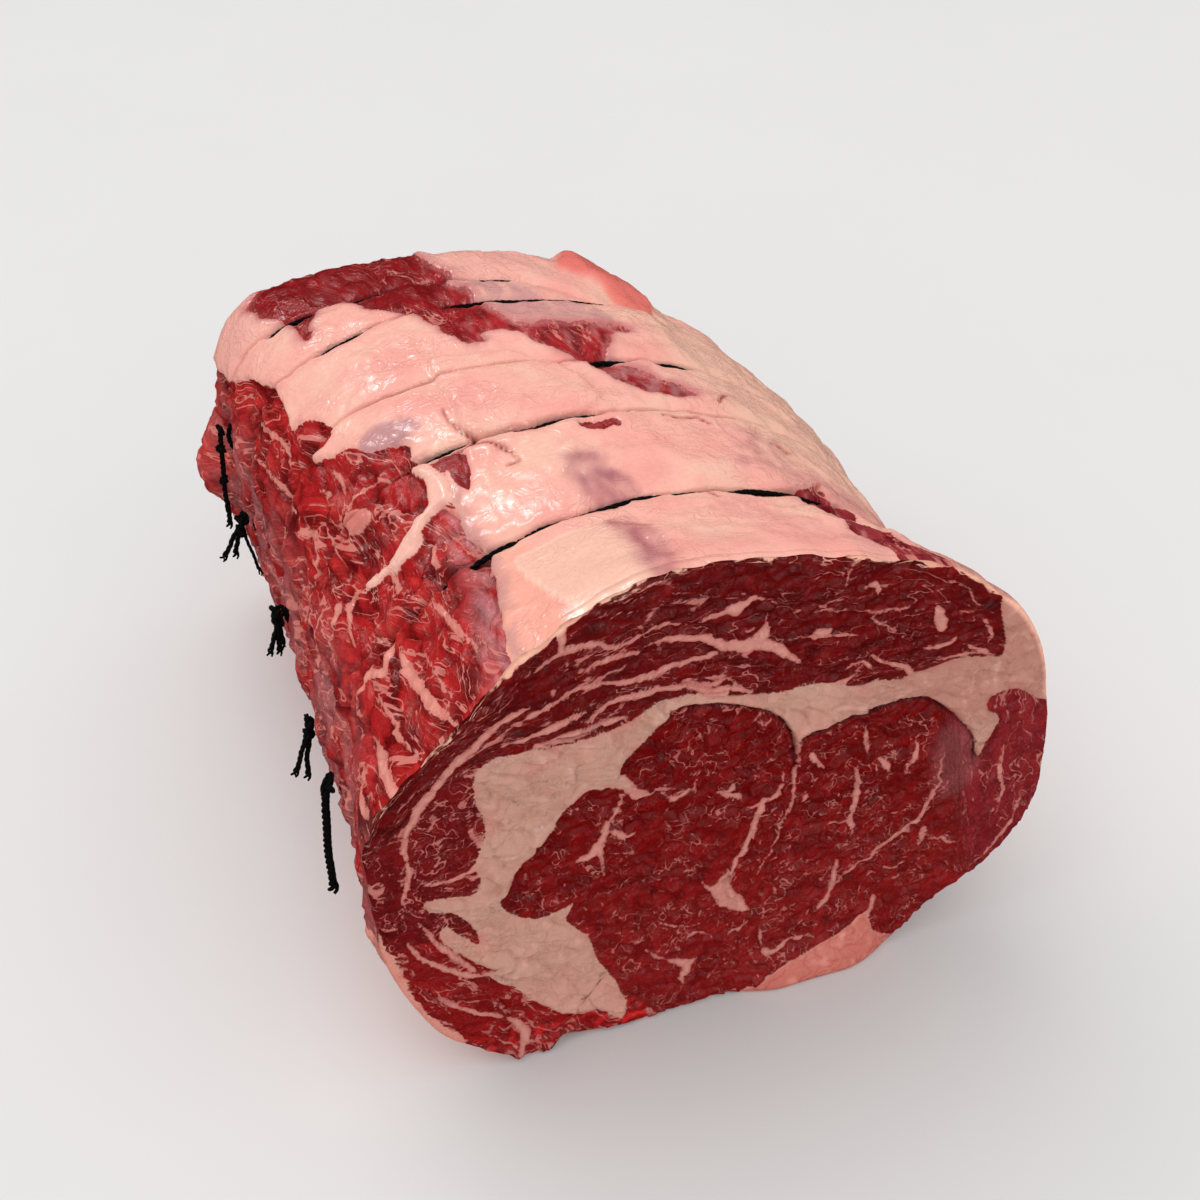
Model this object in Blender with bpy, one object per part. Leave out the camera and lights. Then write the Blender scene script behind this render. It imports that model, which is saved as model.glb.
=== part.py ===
"""Raw beef rib roast, boneless, tied across with five rounds of butcher's twine.

Frame: metres, +Z up. The roast lies on z = 0 along Y. The cut face that shows the rib eye looks
along -Y, the other end along +Y, and X runs from left to right across that cut face. The origin is
on the flat underside, half way along the roast.

The roast is one solid, lofted along Y through cross-sections that share one formula: four
quarter superellipses about a middle point, cut flat where they meet the table. Each size of the
section is given at four stations and eased from one to the next. Each twine is one solid: the loop
that lies in its groove, the knot on the left side and the cut tails. The fifth twine has slid
forward on the right side until it nearly meets the fourth, and the loft's rows lean with it.
"""
import math

import bmesh
import bpy
from mathutils import Matrix, Vector

MM = 0.001

# --- roast: driving sizes ---------------------------------------------------------------------
LENGTH = 226 * MM
STATIONS = (0.0, 58 * MM, 140 * MM, LENGTH)     # distances from the front cut face
HALF_LEFT = (94 * MM, 90 * MM, 89.5 * MM, 92.5 * MM)
HALF_RIGHT = (90.5 * MM, 80 * MM, 96 * MM, 95 * MM)
CROWN_HEIGHT = (156 * MM, 146 * MM, 140 * MM, 129.5 * MM)
CROWN_SHIFT = (-12 * MM, -8 * MM, -20 * MM, -33 * MM)   # x of the highest point
WIDEST_HEIGHT = (76 * MM, 74 * MM, 68 * MM, 58 * MM)
FULLNESS_TOP_LEFT = (2.05, 2.0, 3.0, 5.0)       # superellipse exponents: 2 is round, 5 is square
FULLNESS_TOP_RIGHT = (1.95, 1.9, 1.85, 1.8)
FULLNESS_LOW_LEFT = (3.0, 2.6, 2.4, 2.6)
FULLNESS_LOW_RIGHT = (2.8, 2.5, 2.2, 2.2)
SAG = 6 * MM                                    # how far the round belly is flattened by its weight
FRONT_ROUNDING = 3 * MM                         # soft edge round the front cut face
REAR_ROUNDING = 14 * MM                         # rolled edge round the rear end
AROUND = 52                                     # points in one cross-section

# Round lobe of lean meat that stands out low on the left side, near the rear end.
LOBE_OUT = 9 * MM
LOBE_CENTRE = (214 * MM, 62 * MM)               # distance from the front, height
LOBE_REACH = (12 * MM, 13 * MM)

# --- twine: driving sizes ---------------------------------------------------------------------
TWINE_DIAMETER = 2 * MM
TWINE_SIDES = 6                                 # flats round the twine
GAP = 0.35 * MM                                 # clearance between the twine and the meat
GROOVE_DEPTH = 4.5 * MM
GROOVE_HALF_WIDTH = 8 * MM
KNOT_WRAP_RADIUS = 1.9 * MM                     # centre line of the wraps in a knot
KNOT_WRAP_PITCH = 2.2 * MM

# One row for each twine: its distance from the front cut face on the left side, how far it has
# slid forward on the right side, the height of its knot, and the end of each tail measured from
# the knot (out to the left, along Y, down), all in metres.
TWINES = (
    (50 * MM, 0.0, 70 * MM, ((3.5 * MM, -1 * MM, 41 * MM),)),
    (93 * MM, 0.0, 55 * MM, ((7 * MM, -5 * MM, 18 * MM), (3.5 * MM, -2 * MM, 22 * MM))),
    (127 * MM, 0.0, 68 * MM, ((5 * MM, -4 * MM, 14 * MM), (1.5 * MM, 1 * MM, 15 * MM))),
    (170 * MM, 0.0, 72 * MM, ((9 * MM, -4 * MM, 12 * MM), (4.5 * MM, -1 * MM, 14 * MM))),
    (195 * MM, 21 * MM, 90 * MM, ((5 * MM, -3 * MM, 36 * MM),)),
)
SLIDE_START = 0 * MM                            # x where a slid twine leaves its plane
SLIDE_STOP = 36 * MM                            # x where it has slid all the way

BEEF_COLOUR = (0.24, 0.018, 0.020, 1.0)
TWINE_COLOUR = (0.012, 0.012, 0.013, 1.0)


def clear_scene():
    """Remove every object, so the model starts from an empty scene."""
    for item in list(bpy.data.objects):
        bpy.data.objects.remove(item, do_unlink=True)


def make_collection(name):
    """A collection linked to the scene."""
    collection = bpy.data.collections.new(name)
    bpy.context.scene.collection.children.link(collection)
    return collection


def make_material(name, colour, roughness):
    """A Principled material of one colour."""
    material = bpy.data.materials.new(name)
    material.use_nodes = True
    shader = material.node_tree.nodes["Principled BSDF"]
    shader.inputs["Base Color"].default_value = colour
    shader.inputs["Roughness"].default_value = roughness
    shader.inputs["Metallic"].default_value = 0.0
    return material


def eased(values, distance):
    """A size that changes smoothly from station to station along the roast."""
    along = min(max(distance, 0.0), LENGTH)
    for index in range(len(STATIONS) - 1):
        start, stop = STATIONS[index], STATIONS[index + 1]
        if along <= stop:
            part = (along - start) / (stop - start)
            part = part * part * (3.0 - 2.0 * part)
            return values[index] * (1.0 - part) + values[index + 1] * part
    return values[-1]


def slide_share(x):
    """How much of its slide a twine has made at x, from none on the left to all on the right."""
    part = min(max((x - SLIDE_START) / (SLIDE_STOP - SLIDE_START), 0.0), 1.0)
    return part * part * (3.0 - 2.0 * part)


def row_slide(row):
    """How far a row of the loft leans forward on its right side, so that it follows the twines."""
    knots = [(0.0, 0.0)] + [(twine[0], twine[1]) for twine in TWINES]
    knots += [(LENGTH - REAR_ROUNDING, 0.0), (LENGTH, 0.0)]
    for (start, near), (stop, far) in zip(knots, knots[1:]):
        if row <= stop:
            return near + (far - near) * (row - start) / (stop - start)
    return 0.0


def groove_depth(distance, x):
    """Depth of the twine grooves: a raised cosine across each, and nothing between them."""
    deepest = 0.0
    for tie, slide, _, _ in TWINES:
        offset = abs(distance - tie + slide * slide_share(x))
        if offset < GROOVE_HALF_WIDTH:
            share = math.cos(0.5 * math.pi * offset / GROOVE_HALF_WIDTH) ** 2
            deepest = max(deepest, GROOVE_DEPTH * share)
    return deepest


def edge_rounding(distance):
    """How far the section draws in where the sides roll over into an end face."""
    inset = 0.0
    for radius, into_edge in ((FRONT_ROUNDING, FRONT_ROUNDING - distance),
                              (REAR_ROUNDING, distance - (LENGTH - REAR_ROUNDING))):
        if into_edge > 0.0:
            part = min(into_edge / radius, 1.0)
            inset = max(inset, radius * (1.0 - math.sqrt(1.0 - part * part)))
    return inset


def lobe(distance, height):
    """How far the round lobe pushes the left side out at a place on the side."""
    along = (distance - LOBE_CENTRE[0]) / LOBE_REACH[0]
    up = (height - LOBE_CENTRE[1]) / LOBE_REACH[1]
    return LOBE_OUT * math.exp(-along * along - up * up)


def outline_point(distance, angle):
    """The section's middle, and a point on its outline from there, before grooves and edges."""
    middle_x = eased(CROWN_SHIFT, distance)
    middle_z = eased(WIDEST_HEIGHT, distance)
    across, up = math.cos(angle), math.sin(angle)
    if up >= 0.0:
        fullness = FULLNESS_TOP_RIGHT if across >= 0.0 else FULLNESS_TOP_LEFT
        reach_z = eased(CROWN_HEIGHT, distance) - middle_z
    else:
        fullness = FULLNESS_LOW_RIGHT if across >= 0.0 else FULLNESS_LOW_LEFT
        reach_z = middle_z + SAG
    if across >= 0.0:
        reach_x = eased(HALF_RIGHT, distance) - middle_x
    else:
        reach_x = eased(HALF_LEFT, distance) + middle_x
    power = eased(fullness, distance)
    scale = (abs(across) ** power + abs(up) ** power) ** (-1.0 / power)
    return middle_x, middle_z, across * scale * reach_x, max(up * scale * reach_z, -middle_z)


def section(row):
    """The closed outline of the roast at a row of the loft, as (x, distance, z) points."""
    points = []
    for step in range(AROUND):
        angle = 2.0 * math.pi * step / AROUND
        middle_x, _, across, _ = outline_point(row, angle)
        lean_x = middle_x + across
        distance = row - row_slide(row) * slide_share(lean_x)
        middle_x, middle_z, across, up = outline_point(distance, angle)
        inset = groove_depth(distance, lean_x) + edge_rounding(distance)
        keep = 1.0 - inset / math.hypot(across, up)
        x, z = middle_x + across * keep, middle_z + up * keep
        if across < 0.0:
            x -= lobe(distance, z)
        points.append((x, distance, z))
    return points


def loft_rows():
    """Where the loft has a row: close together in grooves and at rolled edges."""
    places = {0.0, FRONT_ROUNDING * 0.3, FRONT_ROUNDING}
    for part in (0.0, 0.35, 0.65, 0.87, 1.0):
        places.add(LENGTH - REAR_ROUNDING * (1.0 - part))
    for tie, _, _, _ in TWINES:
        for part in (-1.0, -0.5, 0.0, 0.5, 1.0):
            places.add(tie + part * GROOVE_HALF_WIDTH)
    flat_starts = [FRONT_ROUNDING] + [tie + GROOVE_HALF_WIDTH for tie, _, _, _ in TWINES]
    flat_stops = [tie - GROOVE_HALF_WIDTH for tie, _, _, _ in TWINES] + [LENGTH - REAR_ROUNDING]
    longest_row = 15 * MM
    for start, stop in zip(flat_starts, flat_stops):
        rows = max(1, math.ceil((stop - start) / longest_row))
        for row in range(1, rows):
            places.add(start + (stop - start) * row / rows)
    return sorted(places)


def add_end_face(shape, ring, flip):
    """Close the loft with a fan about the middle of a ring."""
    middle = sum((vertex.co for vertex in ring), Vector()) / len(ring)
    centre = shape.verts.new(middle)
    for index, vertex in enumerate(ring):
        following = ring[(index + 1) % len(ring)]
        corners = (centre, following, vertex) if flip else (centre, vertex, following)
        shape.faces.new(corners)


def make_roast(collection, material):
    """The meat: one closed loft from the front cut face to the rear end."""
    shape = bmesh.new()
    rings = []
    for row in loft_rows():
        rings.append([shape.verts.new((x, distance - LENGTH / 2, z))
                      for x, distance, z in section(row)])
    for near, far in zip(rings, rings[1:]):
        for index in range(AROUND):
            following = (index + 1) % AROUND
            shape.faces.new((near[index], near[following], far[following], far[index]))
    add_end_face(shape, rings[0], flip=True)
    add_end_face(shape, rings[-1], flip=False)
    bmesh.ops.recalc_face_normals(shape, faces=shape.faces)
    bmesh.ops.triangulate(shape, faces=shape.faces)
    mesh = bpy.data.meshes.new("roast")
    shape.to_mesh(mesh)
    shape.free()
    mesh.materials.append(material)
    mesh.shade_smooth()
    mesh.set_sharp_from_angle(angle=math.radians(50))
    roast = bpy.data.objects.new("roast", mesh)
    collection.objects.link(roast)
    return roast


def loop_points(row):
    """Centre line of a twine loop, just outside the bottom of its groove."""
    outline = section(row)
    clearance = TWINE_DIAMETER / 2 + GAP
    points = []
    for index, (x, distance, z) in enumerate(outline):
        before = outline[index - 1]
        after = outline[(index + 1) % len(outline)]
        along_x, along_z = after[0] - before[0], after[2] - before[2]
        size = math.hypot(along_x, along_z)
        out_x, out_z = along_z / size, -along_x / size
        points.append(Vector((x + out_x * clearance, distance - LENGTH / 2, z + out_z * clearance)))
    return points


def left_point(points, height):
    """The point of a loop on the left side, at a height."""
    left = [point for point in points if point.x < 0.0]
    return min(left, key=lambda point: abs(point.z - height))


def tube(name, points, closed):
    """A round tube along points, as a closed mesh object."""
    curve = bpy.data.curves.new(name, "CURVE")
    curve.dimensions = "3D"
    curve.bevel_depth = TWINE_DIAMETER / 2
    curve.bevel_resolution = TWINE_SIDES // 2 - 2
    curve.use_fill_caps = True
    spline = curve.splines.new("POLY")
    spline.points.add(len(points) - 1)
    for spot, point in zip(spline.points, points):
        spot.co = (*point, 1.0)
    spline.use_cyclic_u = closed
    guide = bpy.data.objects.new(name + "_curve", curve)
    bpy.context.scene.collection.objects.link(guide)
    evaluated = guide.evaluated_get(bpy.context.evaluated_depsgraph_get())
    mesh = bpy.data.meshes.new_from_object(evaluated)
    shape = bmesh.new()
    shape.from_mesh(mesh)
    bmesh.ops.remove_doubles(shape, verts=shape.verts, dist=0.00001)
    bmesh.ops.recalc_face_normals(shape, faces=shape.faces)
    shape.to_mesh(mesh)
    shape.free()
    piece = bpy.data.objects.new(name, mesh)
    piece.matrix_world = guide.matrix_world
    bpy.context.scene.collection.objects.link(piece)
    bpy.data.objects.remove(guide, do_unlink=True)
    return piece


def tail_points(knot, end):
    """A tail that leaves the knot outwards, then droops to its end."""
    out, along, down = end
    bends = 7
    points = []
    for bend in range(bends + 1):
        part = bend / bends
        sweep = math.sin(0.5 * math.pi * part)
        points.append(knot + Vector((-out * sweep, along * part, -down * part)))
    return points


def make_knot_wraps(name, knot):
    """Two turns of twine wrapped round the standing part, as tori one above the other."""
    wraps = []
    for index, tilt in enumerate((16.0, -14.0)):
        bpy.ops.mesh.primitive_torus_add(major_radius=KNOT_WRAP_RADIUS,
                                         minor_radius=TWINE_DIAMETER / 2,
                                         major_segments=12, minor_segments=TWINE_SIDES)
        wrap = bpy.context.active_object
        wrap.name = f"{name}_wrap_{index}"
        height = (0.5 - index) * KNOT_WRAP_PITCH
        turn = Matrix.Rotation(math.radians(tilt), 4, "Y")
        wrap.matrix_world = Matrix.Translation(knot + Vector((0.0, 0.0, height))) @ turn
        wraps.append(wrap)
    return wraps


def union(name, base, extras, collection, material):
    """Join solids into one with Boolean unions, and remove what was joined."""
    for extra in extras:
        modifier = base.modifiers.new(extra.name, "BOOLEAN")
        modifier.operation = "UNION"
        modifier.solver = "EXACT"
        modifier.object = extra
    evaluated = base.evaluated_get(bpy.context.evaluated_depsgraph_get())
    mesh = bpy.data.meshes.new_from_object(evaluated)
    mesh.name = name
    mesh.materials.clear()
    mesh.materials.append(material)
    mesh.shade_smooth()
    joined = bpy.data.objects.new(name, mesh)
    collection.objects.link(joined)
    for item in [base, *extras]:
        bpy.data.objects.remove(item, do_unlink=True)
    return joined


def make_twine(number, row, collection, material):
    """One round of twine: the loop in its groove, the knot, and the cut tails."""
    distance, _, knot_height, tails = row
    name = f"twine_{number}"
    loop = loop_points(distance)
    seat = left_point(loop, knot_height)
    knot = seat + Vector((-KNOT_WRAP_RADIUS - GAP, 0.0, 0.0))
    pieces = make_knot_wraps(name, knot)
    for index, end in enumerate(tails):
        pieces.append(tube(f"{name}_tail_{index}", tail_points(knot, end), closed=False))
    base = tube(f"{name}_loop", loop, closed=True)
    return union(name, base, pieces, collection, material)


def main():
    """Build the whole roast."""
    clear_scene()
    collection = make_collection("beef_rib_roast")
    beef = make_material("beef", BEEF_COLOUR, 0.35)
    black_twine = make_material("black_twine", TWINE_COLOUR, 0.8)
    make_roast(collection, beef)
    for number, row in enumerate(TWINES, start=1):
        make_twine(number, row, collection, black_twine)


main()
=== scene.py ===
"""Raw beef rib roast tied with five rounds of black twine, on a plain pale floor in soft light."""
import math

import bpy
import numpy as np
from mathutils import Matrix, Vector
from mathutils.bvhtree import BVHTree


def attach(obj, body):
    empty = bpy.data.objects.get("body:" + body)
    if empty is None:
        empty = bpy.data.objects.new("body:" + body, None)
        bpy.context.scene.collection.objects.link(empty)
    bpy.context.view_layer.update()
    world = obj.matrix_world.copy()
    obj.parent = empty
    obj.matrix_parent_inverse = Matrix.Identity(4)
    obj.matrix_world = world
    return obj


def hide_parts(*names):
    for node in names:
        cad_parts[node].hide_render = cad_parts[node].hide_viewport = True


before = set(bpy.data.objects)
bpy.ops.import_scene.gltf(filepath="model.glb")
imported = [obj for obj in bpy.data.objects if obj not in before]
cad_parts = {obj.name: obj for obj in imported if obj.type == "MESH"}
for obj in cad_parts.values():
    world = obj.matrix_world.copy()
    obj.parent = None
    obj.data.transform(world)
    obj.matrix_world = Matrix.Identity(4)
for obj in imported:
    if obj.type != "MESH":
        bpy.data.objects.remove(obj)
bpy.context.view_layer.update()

# All shapes are worked out in millimetres, with y measured back from the cut face, and go to
# metres in the shared frame only when a mesh is made.
MM = 0.001
LENGTH = 226.0
MID_X, MID_Z = -5.0, 65.0           # the axis that angles round the roast are measured about
GIRTH_MM = 1.5                      # millimetres of girth to a degree about that axis
ARC_X, ARC_Z = -10.0, 57.0          # middle of the arc that the cap muscle follows


def hashed(ix, iy, seed):
    """Repeatable random numbers from 0 to 1 for whole-number places."""
    mask = 0xFFFFFFFF
    n = (ix.astype(np.int64) * 374761393 + iy.astype(np.int64) * 668265263 + seed * 1274126177) & mask
    n = ((n ^ (n >> 13)) * 1274126177) & mask
    return (n ^ (n >> 16)) / mask


def noise(x, y, seed=0):
    """Smooth gradient noise, about -1 to 1, with one lattice cell to a unit."""
    x, y = np.broadcast_arrays(np.asarray(x, float), np.asarray(y, float))
    ix, iy = np.floor(x), np.floor(y)
    fx, fy = x - ix, y - iy
    sx, sy = fx * fx * fx * (fx * (fx * 6 - 15) + 10), fy * fy * fy * (fy * (fy * 6 - 15) + 10)
    total = 0.0
    for dx in (0, 1):
        for dy in (0, 1):
            turn = 2 * math.pi * hashed(ix + dx, iy + dy, seed)
            slope = np.cos(turn) * (fx - dx) + np.sin(turn) * (fy - dy)
            total = total + slope * (sx if dx else 1 - sx) * (sy if dy else 1 - sy)
    return 1.6 * total


def layered(x, y, seed=0, layers=3):
    """Noise with finer and weaker noise on top."""
    total, size = 0.0, 0.0
    for layer in range(layers):
        share = 0.5 ** layer
        total = total + share * noise(x * 2 ** layer, y * 2 ** layer, seed + 17 * layer)
        size += share
    return total / size


def cells(x, y, seed):
    """Voronoi cells: distance to the cell's border and to its seed, in units, and two random numbers."""
    x, y = np.broadcast_arrays(np.asarray(x, float), np.asarray(y, float))
    ix, iy = np.floor(x), np.floor(y)
    first = np.full(x.shape, 9.0)
    second = np.full(x.shape, 9.0)
    pick = [np.zeros(x.shape) for _ in range(4)]
    for dx in (-1, 0, 1):
        for dy in (-1, 0, 1):
            jx, jy = ix + dx, iy + dy
            ox = jx + 0.1 + 0.8 * hashed(jx, jy, seed) - x
            oy = jy + 0.1 + 0.8 * hashed(jx, jy, seed + 1) - y
            far = np.hypot(ox, oy)
            nearer = far < first
            second = np.where(nearer, first, np.minimum(second, far))
            first = np.where(nearer, far, first)
            news = (hashed(jx, jy, seed + 2), hashed(jx, jy, seed + 3), ox, oy)
            pick = [np.where(nearer, new, old) for new, old in zip(news, pick)]
    return 0.5 * (second - first), first, pick[0], pick[1], pick[2], pick[3]


def curve(points, closed=False, per=6):
    """A smooth line through points (Catmull-Rom), with any further columns carried along."""
    p = np.array(points, float)
    n = len(p)
    out = []
    for i in range(n if closed else n - 1):
        if closed:
            a, b, c, d = p[i - 1], p[i], p[(i + 1) % n], p[(i + 2) % n]
        else:
            a, b, c, d = p[max(i - 1, 0)], p[i], p[i + 1], p[min(i + 2, n - 1)]
        for k in range(per):
            t = k / per
            out.append(0.5 * (2 * b + (c - a) * t + (2 * a - 5 * b + 4 * c - d) * t * t
                              + (3 * b - a - 3 * c + d) * t ** 3))
    if not closed:
        out.append(p[-1])
    return np.array(out)


def inside(x, y, points, reach=8.0, per=5, smooth=True):
    """Distance to a closed outline, positive inside, no further than reach outside."""
    line = curve(points, True, per) if smooth else np.array(points, float)
    result = np.full(x.shape, -reach)
    low, high = line.min(0) - reach, line.max(0) + reach
    near = (x > low[0]) & (x < high[0]) & (y > low[1]) & (y < high[1])
    px, py = x[near], y[near]
    best = np.full(px.shape, 1e9)
    odd = np.zeros(px.shape, bool)
    for (ax, ay), (bx, by) in zip(line, np.roll(line, -1, 0)):
        ex, ey = bx - ax, by - ay
        t = np.clip(((px - ax) * ex + (py - ay) * ey) / (ex * ex + ey * ey + 1e-12), 0, 1)
        best = np.minimum(best, np.hypot(px - ax - t * ex, py - ay - t * ey))
        if ay != by:
            odd ^= ((ay > py) != (by > py)) & (px < ax + (py - ay) * ex / ey)
    result[near] = np.where(odd, best, -np.minimum(best, reach))
    return result


def stroke(x, y, points, reach=8.0, per=5):
    """Half width less distance for a tapering line through (x, y, half width) points."""
    line = curve(points, False, per)
    result = np.full(x.shape, -reach)
    low, high = line.min(0) - reach, line.max(0) + reach
    near = (x > low[0]) & (x < high[0]) & (y > low[1]) & (y < high[1])
    px, py = x[near], y[near]
    best = np.full(px.shape, -reach)
    for (ax, ay, aw), (bx, by, bw) in zip(line, line[1:]):
        ex, ey = bx - ax, by - ay
        t = np.clip(((px - ax) * ex + (py - ay) * ey) / (ex * ex + ey * ey + 1e-12), 0, 1)
        best = np.maximum(best, aw + t * (bw - aw) - np.hypot(px - ax - t * ex, py - ay - t * ey))
    result[near] = best
    return result


def ramp(value, low, high):
    """0 below low, 1 above high, and a smooth step between."""
    t = np.clip((value - low) / (high - low), 0, 1)
    return t * t * (3 - 2 * t)


def between(place, pairs):
    """A value that changes evenly between (place, value) pairs."""
    places, values = zip(*pairs)
    return np.interp(place, places, values)

RIM = ((-94.5, 72), (-95, 84), (-94.5, 96), (-91.5, 106), (-85.5, 113), (-79, 119.5), (-71.5, 127), (-65, 134),
       (-58, 141.5), (-53, 146), (-45, 151), (-36, 155), (-27, 158), (-18, 159), (-5, 158), (8, 155.5),
       (18, 153.5), (28, 150), (41, 145.5), (51, 141.5), (60, 136), (68, 128.5), (75, 122), (81, 113),
       (86, 102), (89.5, 88), (92, 77), (93.5, 62), (94, 50), (91.5, 39), (85, 29), (78, 21.5), (69, 16),
       (61, 9), (55, 3), (45, 0), (20, 0), (-10, 0), (-30, 0.5), (-42, 2), (-49, 3.5), (-52, 0.5), (-60, 0.5),
       (-68, 5.5), (-76, 12), (-81, 18.5), (-85, 27), (-90, 41), (-93.5, 56))
CAP_UNDER = ((-100, 90), (-92, 95), (-87, 100), (-82, 104), (-78, 110), (-72, 114), (-61, 117), (-45, 118), (-29, 119.5),
             (-20, 121), (-9, 118), (0, 116), (9, 113.5), (23, 112.5), (32, 109), (41, 108), (55, 109),
             (67, 107), (75, 104), (84, 100))
SEAM = ((-65, 115), (-55, 115.5), (-45, 115), (-34, 115.5), (-28, 118), (-21, 120.5), (-14, 120.5), (-8, 117.5),
        (0, 116.5), (9, 114), (17, 114), (23, 112.5), (30, 109.5), (36, 109.5), (43, 108), (51, 109), (59, 109.5),
        (67, 108), (72.5, 107), (71.5, 115), (69, 124), (70, 132), (84, 120), (94, 100), (92, 86), (88, 86.5), (83, 90), (78, 93),
        (74, 94), (71, 91.5), (71, 88), (74, 85.5), (75.5, 82), (73, 75), (71, 70.5), (69.5, 77), (66, 83), (61.5, 89.5),
        (56, 95), (50, 99), (43, 99.5), (34, 98.5), (25, 97.5), (19, 96), (16, 93.5), (14.5, 98.5), (11, 104), (6, 108.5),
        (0, 112.5), (-7, 115.5), (-15, 117.5), (-19, 116), (-23, 111.5), (-27, 107), (-31.5, 101.5), (-30, 97.5), (-28, 94.5), (-30, 94),
        (-36, 96.5), (-41, 96.5), (-45, 93), (-49, 87), (-53.5, 81), (-58, 76), (-61, 69), (-63, 65.5), (-61, 61),
        (-56, 56.5), (-50, 55.5), (-44, 57), (-46, 52), (-42, 45.5), (-39, 40), (-37, 31), (-34, 24), (-31, 17), (-29, 8),
        (-31, 4), (-38, 10), (-46, 12), (-54, 20), (-60, 29), (-67, 37.5), (-64, 39.5), (-68, 42), (-75, 51),
        (-79, 58.5), (-77, 61.5), (-73, 56), (-69, 51.5), (-71, 60), (-75, 66), (-81, 69.5), (-81.5, 73.5), (-75, 72),
        (-69, 71.5), (-67.5, 76), (-69, 81), (-66.5, 88), (-65.5, 96), (-67.5, 102), (-67.5, 109))
STRIP = ((3, -6), (5, 1), (10, 3.5), (16, 7.5), (25, 10), (33, 12.5), (39, 14.5), (43, 18.5), (45, 14), (47, 9), (52, 5), (60, -2), (45, -8))
LOW_EDGE = ((-99, 70), (-94, 66), (-92.5, 60), (-91, 55), (-89.5, 49), (-88.5, 42), (-86, 33), (-81.5, 25), (-77, 18),
            (-75, 12), (-80, 5), (-99, 20))
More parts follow.
